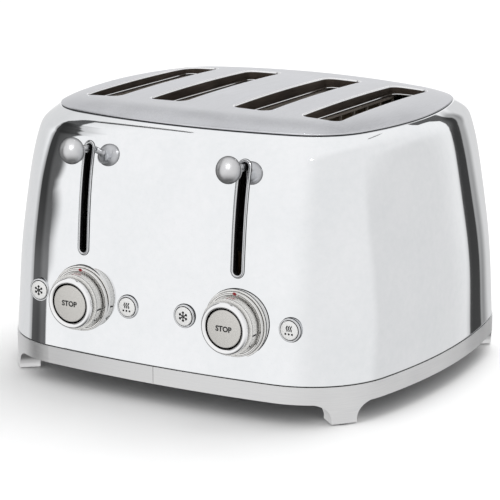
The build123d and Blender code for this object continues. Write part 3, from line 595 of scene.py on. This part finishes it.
def slot_patches(side, slot_x, border, loop, normal):
    """Plate round one slot: rings from its border in to the loop, a quarter round lip, and the
    collar with its bead. The left side's are mirrored."""
    centre = np.array([slot_x, 0.0])
    outside = centre + loop + LIP_R * normal
    hub = np.column_stack([outside, plate_z(outside) - LIP_R])
    upward = np.tile((0.0, 0.0, 1.0), (len(hub), 1))
    inward = np.column_stack([-normal, np.zeros(len(normal))])
    lip = [hub + LIP_R * between(upward, inward, k) for k in np.linspace(0, 1, 7)]
    rings = []
    for k in np.linspace(1, 0, 14):
        plan = lip[0][:, :2] * (1 - k) + border * k
        rings.append(np.column_stack([plan, plate_z(plan)]))
    wall = [lip[-1]]
    for grow, z, _ in SLOT_WALL:
        wall.append(np.column_stack([centre + loop + grow * normal, np.full(len(loop), z)]))
    wall_marks = np.repeat([mark for _, _, mark in SLOT_WALL], len(loop))
    flip = np.array([side, 1.0, 1.0])
    patches = []
    for rows, mark in ((rings, 0), (lip, 3), (wall, wall_marks)):
        quads = grid_faces(len(rows), len(loop), round_cols=True)[:, ::side]
        patches.append((np.array(rows) * flip, quads, mark))
    return patches


def plate_edge(phi):
    """Outermost part of the plate: the slope, a rolled edge, its upright and the underside, and
    a strip of flat black painted in the gap below as its shade."""
    edge = [edge_ring(phi, d) for d in np.linspace(EDGE_ZONE, ROLL[0], 9)]
    top = edge_ring(phi, ROLL[0])
    for k in np.radians((25, 50, 75, 90)):
        ring = edge_ring(phi, ROLL[0] - ROLL[0] * math.sin(k))
        ring[:, 2] = top[:, 2] - ROLL[1] * (1 - math.cos(k))
        edge.append(ring)
    for inward in (0.0, 0.8):
        ring = edge_ring(phi, inward)
        ring[:, 2] = RIM_Z + PLATE_GAP
        edge.append(ring)
    # Flat black strip in the gap under the edge: painted shade.
    shade_strip = []
    for inward, rise in ((0.8, 0.9), (0.25, 0.9), (0.25, 0.02)):
        ring = edge_ring(phi, inward)
        ring[:, 2] = RIM_Z + rise
        shade_strip.append(ring)
    return [(np.array(edge), grid_faces(len(edge), len(phi), round_cols=True), 0),
            (np.array(shade_strip), grid_faces(len(shade_strip), len(phi), round_cols=True), 2)]


def domed_plate():
    """Dome with four slots. The edge's columns stand where the slots' borders have their points,
    so that both meet point to point."""
    loop, normal, counts = slot_loop()
    rim = edge_ring(np.radians(np.linspace(-180, 180, 4001)), EDGE_ZONE)
    patches = []
    turns = []
    for side in SIDES:
        for cell, slot_x in enumerate(SLOT_X):
            border = cell_border(cell, loop, counts, rim)
            turn = np.arctan2(border[:, 1], border[:, 0])
            gap = np.hypot(*outline(turn, *level(RIM_Z, PLATE_STEP + EDGE_ZONE))) - np.hypot(*border.T)
            outer = border[np.abs(gap) < 0.02]
            turns.append(np.arctan2(outer[:, 1], outer[:, 0] * side))
            patches += slot_patches(side, slot_x, border, loop, normal)
    phi = np.unique(np.round(np.concatenate(turns), 7))
    phi = phi[np.concatenate([[True], np.diff(phi) > 1e-4])]
    return surface("domed_plate", patches + plate_edge(phi), PLATE_LOOKS, "housing",
                   ["top_plate"], sharp=40, closed=False)


# Levers

def slot_path(grow):
    """A lever slot's upright outline, grow wide of its middle line: two half circles joined by
    two straights."""
    low = SLOT_Z[0] + RIM_HALF
    top = SLOT_Z[1] - RIM_HALF
    upper = np.linspace(0, np.pi, 20)
    lower = upper + np.pi
    rise = np.linspace(low, top, 40)[1:-1]
    left = np.tile((-1.0, 0.0), (len(rise), 1))
    out = np.vstack([np.column_stack([np.cos(upper), np.sin(upper)]), left,
                     np.column_stack([np.cos(lower), np.sin(lower)]), -left])
    height = np.concatenate([np.full_like(upper, top), rise[::-1], np.full_like(lower, low), rise])
    return out * grow + np.column_stack([np.zeros(len(out)), height])


def lever_rim(side):
    """Profile of width and height carried round the lever slot on the body's face: a black strip
    painted round it as contact shade, a strip with a fine groove whose floor is painted black as
    shade, and an edge and a wall that goes in, both painted black as the slot's shade."""
    profile = [(5.6, 0.05), (5.5, 0.16), (5.25, 0.16), (5.25, 0.45), (5.15, 0.7), (4.95, 0.88),
               (4.65, 0.96), (4.5, 0.72), (4.3, 0.72), (4.15, 0.98), (3.8, 0.98), (3.5, 0.88),
               (3.3, 0.65), (3.15, 0.35), (3.15, -1.5), (3.15, -2.8)]
    # 1 marks the faces painted black as shade
    marks = (1, 1, 1, 0, 0, 0, 0, 1, 0, 0, 0, 0, 1, 1, 1)
    rows = []
    for grow, height in profile:
        path = slot_path(grow)
        x = side * SIDE_X + path[:, 0]
        rows.append(np.column_stack([x, face_y(x, path[:, 1]) - height, path[:, 1]]))
    grid = np.array(rows)
    quads = grid_faces(len(rows), grid.shape[1], round_cols=True)[:, ::-1]
    return surface("lever_rim_" + SIDES[side], [(grid, quads, np.repeat(marks, grid.shape[1]))],
                   [DULL_CHROME, PAINTED_GAP_SHADE], "housing",
                   ["lever_bezel_" + SIDES[side]], closed=False)


def lever_knob(side):
    """A ball drawn a little tall, on a neck whose radius falls as a power of its length, and a
    round stem."""
    x = side * SIDE_X
    flare = float(face_y(SIDE_X, SLOT_Z[0])) - NECK_GAP - NECK
    middle = flare - BALL_OUT
    a = np.linspace(0, np.pi, 41)[:, None]
    around = np.linspace(0, 2 * np.pi, 72, endpoint=False)
    ball = np.stack([x + BALL_R * np.sin(a) * np.cos(around),
                     middle - BALL_R * np.cos(a) + 0 * around,
                     BALL_Z + BALL_R * BALL_TALL * np.sin(a) * np.sin(around)], -1)
    stem_r = 2.4
    neck = [(0.0, 0.0), (7.9, 0.0), (8.25, -0.12)]
    neck += [(stem_r + 5.9 * (1 - k) ** 2.1, -0.35 - 5.5 * k) for k in np.linspace(0, 1, 14)]
    neck += [(stem_r, -12.4), (0.0, -12.4)]
    patches = [(ball, grid_faces(*ball.shape[:2], round_cols=True), 0)]
    patches.append((*turned(neck, x, STEM_Z, flare, 72), 0))
    return surface("lever_knob_" + SIDES[side], patches, [SATIN_BALL],
                   "lever_assembly_" + SIDES[side], ["lever_ball_" + SIDES[side]])


# Dials and buttons

def flat_sign(name, strokes, x, y, body):
    """Sign printed at a button's middle: each stroke is a line of points, drawn as a strip."""
    patches = []
    for stroke in strokes:
        p = np.asarray(stroke, float)
        d = np.gradient(p, axis=0)
        d /= np.maximum(np.linalg.norm(d, axis=1, keepdims=True), 1e-9)
        n = np.column_stack([-d[:, 1], d[:, 0]]) * SIGN_LINE / 2
        pair = np.stack([p + n, p - n])
        grid = np.stack([x + pair[..., 0], np.full(pair.shape[:2], y), DIAL_Z + pair[..., 1]], -1)
        patches.append((grid, grid_faces(2, len(p)), 0))
    return surface(name, patches, [BLACK_INK], body, closed=False)


def written(words, size, weight):
    """Plain words as a flat mesh, centred, its strokes made wider by a weight: points and faces."""
    curve = bpy.data.curves.new("words", "FONT")
    curve.body = words
    curve.size = size
    curve.offset = weight
    curve.align_x = "CENTER"
    curve.align_y = "CENTER"
    curve.resolution_u = 4
    holder = bpy.data.objects.new("words", curve)
    bpy.context.scene.collection.objects.link(holder)
    bpy.context.view_layer.update()
    mesh = bpy.data.meshes.new_from_object(holder.evaluated_get(bpy.context.evaluated_depsgraph_get()))
    points = np.array([v.co[:] for v in mesh.vertices])
    faces = [list(p.vertices) for p in mesh.polygons]
    bpy.data.objects.remove(holder)
    bpy.data.meshes.remove(mesh)
    bpy.data.curves.remove(curve)
    points[:, :2] -= (points[:, :2].min(0) + points[:, :2].max(0)) / 2
    return points, faces


def printed(name, points, faces, body):
    """Black print from points and faces."""
    mesh = bpy.data.meshes.new(name)
    mesh.from_pydata(to_frame(points).tolist(), [], faces)
    mesh.materials.append(BLACK_INK)
    return carried(name, mesh, body)


def ring_marks(profile, dark, around=AROUND, closed=False):
    """For each face of a turned profile: 1 where its step lies in one of the dark spans, which are painted
    black as shade, else 0.
    """
    steps = len(profile) if closed else len(profile) - 1
    marks = [int(any(first <= k < last for first, last in dark)) for k in range(steps)]
    return np.repeat(marks, around)


def contact_ring(radius, x, face, around=AROUND):
    """Thin black ring painted on the body round a turned piece, as the shade where the two meet."""
    profile = [(radius - 0.1, 0.0), (radius - 0.1, 0.2), (radius + 0.2, 0.2), (radius + 0.35, 0.0)]
    return turned(profile, x, DIAL_Z, face, around)


def dial_collar(side):
    """Fixed collar, turned in three steps with black lines painted in the grooves between them as
    their shade, and its red zero dot.
    """
    word = SIDES[side]
    x = side * SIDE_X
    face = float(face_y(SIDE_X, DIAL_Z))
    collar = [(3.9, -7.5), (3.9, 4.5), (21.5, 4.5), (21.5, 4.1), (21.9, 4.1), (21.9, 4.5), (22.8, 4.5),
              (22.8, 4.1), (23.1, 4.1), (23.1, 4.5)]
    collar += arc((23.55, 4.05), 0.45, 90, 0, 5) + [(24.0, 2.2), (23.8, 2.0), (23.8, 1.6), (24.2, 1.6)]
    collar += arc((24.9, 1.2), 0.4, 90, 0, 5) + [(25.3, -3.6), (19.5, -3.6), (19.5, -7.5)]
    grid, _ = turned(collar, x, DIAL_Z, face)
    # The grooves between the steps are painted black as shade.
    marks = ring_marks(collar, ((2, 5), (6, 9), (15, 18)), closed=True)
    quads = grid_faces(len(collar), AROUND, round_rows=True, round_cols=True)
    surface("dial_collar_turned_" + word, [(grid, quads, marks), (*contact_ring(25.3, x, face), 1)],
            [SATIN_COLLAR, PAINTED_GAP_SHADE], "housing", ["dial_collar_" + word])
    t = np.linspace(0, 2 * np.pi, 24, endpoint=False)
    dot = np.stack([x + 1.3 + np.outer((0.0, 1.6), np.cos(t)), np.full((2, 24), face - 4.56),
                    DIAL_Z + 23.1 + np.outer((0.0, 1.05), np.sin(t))], -1)
    surface("zero_dot_" + word, [(dot, grid_faces(2, 24, round_cols=True), 0)], [RED_INK], "housing",
            closed=False)


def dial_ring(side):
    """Turning dial: a band whose back, grooves and the gap under the ring are painted black as shade,
    and a rounded chrome ring on its front whose underside, inner wall and floor are painted black as
    shade.
    """
    word = SIDES[side]
    x = side * SIDE_X
    face = float(face_y(SIDE_X, DIAL_Z))
    body = "dial_body_" + word
    band = [(3.6, 5.2), (20.5, 5.2)] + arc((20.5, 5.7), 0.5, -90, 0, 5)
    band += [(21.0, 6.3), (20.75, 6.35), (20.75, 6.6), (21.0, 6.65), (21.0, 12.0), (20.75, 12.05)]
    band += [(20.75, 12.3), (21.0, 12.35)] + arc((20.5, 12.9), 0.5, 0, 90, 5)
    band += [(17.0, 13.4), (17.0, 14.6)]
    ring = [(17.0, 14.6), (18.2, 14.6)] + arc((18.2, 15.6), 1.0, -90, 0, 6)
    ring += arc((17.4, 16.4), 1.8, 0, 90, 10) + arc((16.6, 16.8), 1.4, 90, 180, 8)
    ring += [(15.2, 10.7), (1.8, 10.7), (1.8, -16.0), (3.6, -16.0), (3.6, 5.2)]
    # Faces marked 2 in both parts are painted black as shade in the grooves and gaps.
    band_finish = 1 + ring_marks(band, ((0, 1), (7, 10), (11, 14), (20, 21)))
    ring_finish = 2 * ring_marks(ring, ((0, 1), (len(ring) - 7, len(ring) - 4)))
    patches = [(*turned(band, x, DIAL_Z, face), band_finish), (*turned(ring, x, DIAL_Z, face), ring_finish)]
    surface("dial_turned_" + word, patches, [TURNED_CHROME, NUMBER_BAND, PAINTED_GAP_SHADE], body,
            ["dial_" + word])
    dial_print(x, face, body, word)


def dial_print(x, face, body, word):
    """Numbers bent round the dial's band, and the red line at its zero place: a strip that leans
    away sideways with the square of its length."""
    radius = BAND_R + PRINT
    for number in range(1, 7):
        points, faces = written(str(number), 6.4, 0.34)
        middle = math.radians(90 - FIRST_NUMBER - NUMBER_STEP * (number - 1))
        angle = middle - points[:, 0] / BAND_R
        bent = np.column_stack([x + radius * np.cos(angle), face - 9.2 + points[:, 1],
                                DIAL_Z + radius * np.sin(angle)])
        printed("dial_number_%d_%s" % (number, word), bent, faces, body)
    t = np.linspace(0, 1, 8)
    across = (0.4 + 1.6 * t ** 2)[None] + np.array([[-1.7], [1.7]])
    line = np.stack([x + across, np.tile(face - 11.9 + 5.1 * t, (2, 1)),
                     DIAL_Z + np.sqrt(radius ** 2 - across ** 2)], -1)
    surface("zero_line_" + word, [(line, grid_faces(2, 8), 0)], [RED_INK], body,
            closed=False)


def stop_cap(side):
    """Flat turned button in the dial's middle with its word."""
    word = SIDES[side]
    x = side * SIDE_X
    face = float(face_y(SIDE_X, DIAL_Z))
    cap = [(0.0, 17.5), (13.2, 17.5)] + arc((13.2, 16.6), 0.9, 90, 0, 7)
    cap += [(14.1, 15.6), (14.1, 12.6), (1.5, 12.6), (1.5, -16.0), (0.0, -16.0)]
    # The outer part of the rounded edge, the side and the back are painted black as shade.
    marks = ring_marks(cap, ((7, 11),))
    surface("stop_cap_" + word, [(*turned(cap, x, DIAL_Z, face), marks)], [SATIN_FACE, PAINTED_GAP_SHADE],
            "stop_body_" + word, ["stop_button_" + word])
    points, faces = written("STOP", 5.5, 0.24)
    flat = np.column_stack([x + points[:, 0], np.full(len(points), face - 17.53), DIAL_Z + points[:, 1]])
    printed("stop_word_" + word, flat, faces, "stop_body_" + word)


def snowflake():
    """Six spokes, each with two short branches at 45 degrees."""
    strokes = []
    for k in range(6):
        t = math.radians(60 * k + 90)
        tip = np.array([math.cos(t), math.sin(t)])
        strokes.append([tip * 0.2, tip * 3.9])
        for turn in (45, -45):
            b = t + math.radians(turn)
            strokes.append([tip * 2.4, tip * 2.4 + 1.3 * np.array([math.cos(b), math.sin(b)])])
    return strokes


def heat_waves():
    """Three upright sine waves over three small crosses."""
    strokes = []
    rise = np.linspace(-0.7, 3.6, 24)
    for k in (-1, 0, 1):
        strokes.append(np.column_stack([1.7 * k + 0.4 * np.sin((rise + 0.7) * 2 * np.pi / 3.2), rise]))
        strokes.append([(2.7 * k - 0.75, -2.6), (2.7 * k + 0.75, -2.6)])
        strokes.append([(2.7 * k, -3.35), (2.7 * k, -1.85)])
    return strokes


def small_button(kind, side, strokes):
    """Small round button with its sign, in a rounded rim with a black ring painted round it as
    contact shade, all turned; the rim's inner wall and the cap's edge are painted black as the shade
    of the gap between them.
    """
    word = SIDES[side]
    x = side * SIDE_X + (-BUTTON_OFF if kind == "defrost" else BUTTON_OFF)
    face = float(face_y(x, DIAL_Z))
    body = kind + "_body_" + word
    rim = [(7.5, -3.8), (7.5, 1.2)] + arc((7.9, 1.2), 0.4, 180, 90, 4)
    rim += arc((8.2, 1.0), 0.6, 90, 0, 6) + [(8.8, -2.2), (8.1, -2.2), (8.1, -3.8)]
    grid, _ = turned(rim, x, DIAL_Z, face, 64)
    # The rim's inner wall is painted black as the shade of the gap.
    marks = ring_marks(rim, ((0, 3),), 64, closed=True)
    quads = grid_faces(len(rim), 64, round_rows=True, round_cols=True)
    surface(kind + "_rim_" + word, [(grid, quads, marks), (*contact_ring(8.8, x, face, 64), 1)],
            [DULL_CHROME, PAINTED_GAP_SHADE], "housing", [kind + "_bezel_" + word])
    cap = [(0.0, 2.3), (6.4, 2.3)] + arc((6.4, 1.5), 0.8, 90, 0, 6)
    cap += [(7.2, 0.9), (7.2, -6.7), (2.2, -6.7), (2.2, -12.0), (0.0, -12.0)]
    # The cap's rounded edge and side are painted black as the shade of the gap.
    surface(kind + "_cap_" + word, [(*turned(cap, x, DIAL_Z, face, 64), ring_marks(cap, ((6, 9),), 64))],
            [BUTTON_FACE, PAINTED_GAP_SHADE], body, [kind + "_button_" + word])
    flat_sign(kind + "_sign_" + word, strokes, x, face - 2.33, body)


# Studio: angles are in degrees, an azimuth goes from the front towards the right

VIEW_AZIMUTH = 30.48
VIEW_ELEVATION = 14.10
VIEW_DISTANCE = 1738.98
VIEW_AIM = (-5.33, -3.14, 84.32)
FLOOR_GLOOM = (-80, -18)     # between these elevations the room below fades to its least light
LINE_FADE = (-17, -2)        # between these the dark lines gain their full strength
SMOOTH = {"interpolation_type": "SMOOTHSTEP"}

# Dark lines across the white room, which the chrome shows as its dark edges: the points of each
# as azimuth, elevation and half width, then how soft its edge is as a share of that width, how
# much light it takes, and what is left of that near the floor.
ROOM_LINES = (
    (((-64, -40, 15), (-64.8, -8, 12.6), (-64.2, -1.5, 10.2), (-63.4, 3, 9.3), (-62.7, 9, 6.7),
      (-62.5, 18, 6.3), (-73, 33.5, 5), (-84, 40.7, 3.2), (-98, 43.8, 2.2), (-110, 44.2, 1.3),
      (-118, 43.5, 0.8), (-121, 54, 0.4)), 0.2, 0.88, 0.8),
    (((-75, -40, 6), (-73, -8, 6), (-69, 3, 5), (-66, 10, 4.5), (-66, 20, 4), (-76.5, 32.5, 3.5),
      (-90, 41, 2), (-104, 43, 1)), 1.6, 0.6, 0.6),
    (((-60, 22, 2), (-69, 36.5, 2), (-84, 43.2, 1.6), (-98, 45.8, 1.2)), 2.6, 0.3, 1.0),
    (((-110, -30, 20), (-112, 20, 18)), 0.8, 0.22, 1.0),
    (((169, -40, 3), (168.5, -14, 3), (166.5, -5, 3), (166, 2, 3.2), (167.5, 8, 3.4), (170, 14, 3.2),
      (171, 19, 2), (167.5, 24, 0.9), (163, 28, 0.6), (156, 44, 0.3)), 0.25, 0.88, 0.95),
    (((170.5, -40, 3.2), (170.5, -14, 3.2), (168.7, -2, 3.2), (174, 14, 2.5)), 1.5, 0.6, 1.0),
    (((185, -30, 10), (185, 5, 10)), 0.3, 0.25, 1.0),
    (((138, -40, 22), (136, -10, 14)), 1.1, 0.13, 1.0),
    (((90, -40, 60), (90, -6, 52)), 0.45, 0.10, 1.0),
    (((-180, 38, 7), (-142, 38, 7)), 1.0, 0.36, 1.0),
)


def away_from(azimuth, elevation):
    """Direction from the toaster to a place in the room."""
    a = math.radians(azimuth)
    e = math.radians(elevation)
    return Vector((math.sin(a) * math.cos(e), -math.cos(a) * math.cos(e), math.sin(e)))


def stretch_distance(tree, way, first, last):
    """How far a direction lies from one stretch of a line, in half widths of the line: the
    nearest point is the direction's shadow on the stretch, and the width changes evenly along."""
    start = away_from(*first[:2])
    step = away_from(*last[:2]) - start
    half = math.radians(first[2])
    growth = math.radians(last[2]) - half
    rel = add(tree, "ShaderNodeVectorMath", {0: way, 1: start}, operation="SUBTRACT")
    share = add(tree, "ShaderNodeVectorMath", {0: rel.outputs[0], 1: step / step.length_squared},
                operation="DOT_PRODUCT")
    share = add(tree, "ShaderNodeMath", {0: share.outputs["Value"], 1: 1.0}, operation="MULTIPLY",
                use_clamp=True)
    near = add(tree, "ShaderNodeVectorMath", {0: share.outputs[0], 1: step, 2: start},
               operation="MULTIPLY_ADD")
    gap = add(tree, "ShaderNodeVectorMath", {0: way, 1: near.outputs[0]}, operation="DISTANCE")
    wide = add(tree, "ShaderNodeMath", {0: share.outputs[0], 1: growth, 2: half}, operation="MULTIPLY_ADD")
    off = add(tree, "ShaderNodeMath", {0: gap.outputs["Value"], 1: wide.outputs[0]}, operation="DIVIDE")
    return off.outputs[0]


def dark_line(tree, way, rise, points, soft, loss, low):
    """Light left near a dark line: what it takes fades out with the distance from its nearest
    stretch, and is less near the floor."""
    nearest = stretch_distance(tree, way, points[0], points[1])
    for first, last in zip(points[1:-1], points[2:]):
        off = stretch_distance(tree, way, first, last)
        nearest = add(tree, "ShaderNodeMath", {0: nearest, 1: off}, operation="MINIMUM").outputs[0]
    dark = add(tree, "ShaderNodeMapRange", {"Value": nearest, "From Min": 1.0, "From Max": 1.0 + soft,
                                            "To Min": loss, "To Max": 0.0}, **SMOOTH)
    fade = add(tree, "ShaderNodeMapRange", {"Value": rise, "From Min": math.radians(LINE_FADE[0]),
                                            "From Max": math.radians(LINE_FADE[1]),
                                            "To Min": low, "To Max": 1.0}, **SMOOTH)
    both = add(tree, "ShaderNodeMath", {0: dark.outputs[0], 1: fade.outputs[0]}, operation="MULTIPLY")
    return add(tree, "ShaderNodeMath", {0: 1.0, 1: both.outputs[0]}, operation="SUBTRACT").outputs[0]


def studio():
    """Soft white room: its brightness by direction is what the chrome shows, with dark lines
    where a real room has its light's edges and a darker floor."""
    world = bpy.data.worlds.new("soft_white_room")
    bpy.context.scene.world = world
    world.use_nodes = True
    tree = world.node_tree
    tree.nodes.clear()
    out = add(tree, "ShaderNodeOutputWorld")
    way = add(tree, "ShaderNodeTexCoord").outputs["Generated"]
    axes = add(tree, "ShaderNodeSeparateXYZ", {0: way})
    rise = add(tree, "ShaderNodeMath", {0: axes.outputs["Z"]}, operation="ARCSINE").outputs[0]
    value = add(tree, "ShaderNodeMapRange", {"Value": rise, "From Min": math.radians(FLOOR_GLOOM[0]),
                                             "From Max": math.radians(FLOOR_GLOOM[1]),
                                             "To Min": 0.10, "To Max": 1.0}, **SMOOTH).outputs[0]
    for points, soft, loss, low in ROOM_LINES:
        left = dark_line(tree, way, rise, points, soft, loss, low)
        value = add(tree, "ShaderNodeMath", {0: value, 1: left}, operation="MULTIPLY").outputs[0]
    light = add(tree, "ShaderNodeBackground", {"Color": linear("FFFFFF"), "Strength": value})
    tree.links.new(light.outputs[0], out.inputs["Surface"])


def hang_lamp(name, place, aim, size, watts, mirrored=False):
    """Round soft lamp that looks at a point; mirrored says whether metal shows it."""
    lamp = bpy.data.lights.new(name, "AREA")
    lamp.shape = "DISK"
    lamp.size = size
    lamp.energy = watts
    holder = bpy.data.objects.new(name, lamp)
    holder.location = place
    holder.rotation_euler = (Vector(aim) - holder.location).to_track_quat("-Z", "Y").to_euler()
    holder.visible_glossy = mirrored
    bpy.context.scene.collection.objects.link(holder)
    return holder


def worktop():
    """Plain pale floor, in whose place the chrome shows the white room."""
    mesh = bpy.data.meshes.new("pale_floor")
    far = 9.0
    mesh.from_pydata([(-far, -far, 0), (far, -far, 0), (far, far, 0), (-far, far, 0)], [], [(0, 1, 2, 3)])
    floor = bpy.data.objects.new("pale_floor", mesh)
    bpy.context.scene.collection.objects.link(floor)
    mesh.materials.append(worked("pale_floor", "FAFAFA", "FCFCFC", (0.8, 0.9), 0.0, 300.0))
    floor.visible_glossy = False


def lamps():
    """One wide lamp overhead, and a small one with a narrow beam for the highlight on each
    lever's ball."""
    hang_lamp("overhead_light", (0.3, 1.25, 2.4), (0, 0, 0.1), 2.0, 31.0)
    for side, word in SIDES.items():
        front = float(face_y(SIDE_X, BALL_Z)) - 12
        aim = Vector((side * SIDE_X, front + BACK, BALL_Z + 20)) * MM
        place = aim + away_from(29, 36) * 1.8
        narrow = hang_lamp("ball_light_" + word, place, aim, 0.12, 0.007, mirrored=True)
        narrow.data.spread = math.radians(2.5)


def viewpoint():
    """The photograph's own view: from the front right, a little above."""
    away = away_from(VIEW_AZIMUTH, VIEW_ELEVATION)
    target = Vector((VIEW_AIM[0], VIEW_AIM[1] + BACK, VIEW_AIM[2])) * MM
    lens = bpy.data.cameras.new("photo_view")
    lens.lens = 159.35
    lens.sensor_width = 36.0
    holder = bpy.data.objects.new("photo_view", lens)
    holder.location = target + away * VIEW_DISTANCE * MM
    holder.rotation_euler = away.to_track_quat("Z", "Y").to_euler()
    bpy.context.scene.collection.objects.link(holder)
    bpy.context.scene.camera = holder
    bpy.context.scene.view_settings.view_transform = "Standard"


paint_cad_nodes()
body_shell()
domed_plate()
for hand in SIDES:
    lever_rim(hand)
    lever_knob(hand)
    dial_collar(hand)
    dial_ring(hand)
    stop_cap(hand)
    small_button("defrost", hand, snowflake())
    small_button("reheat", hand, heat_waves())
studio()
worktop()
lamps()
viewpoint()
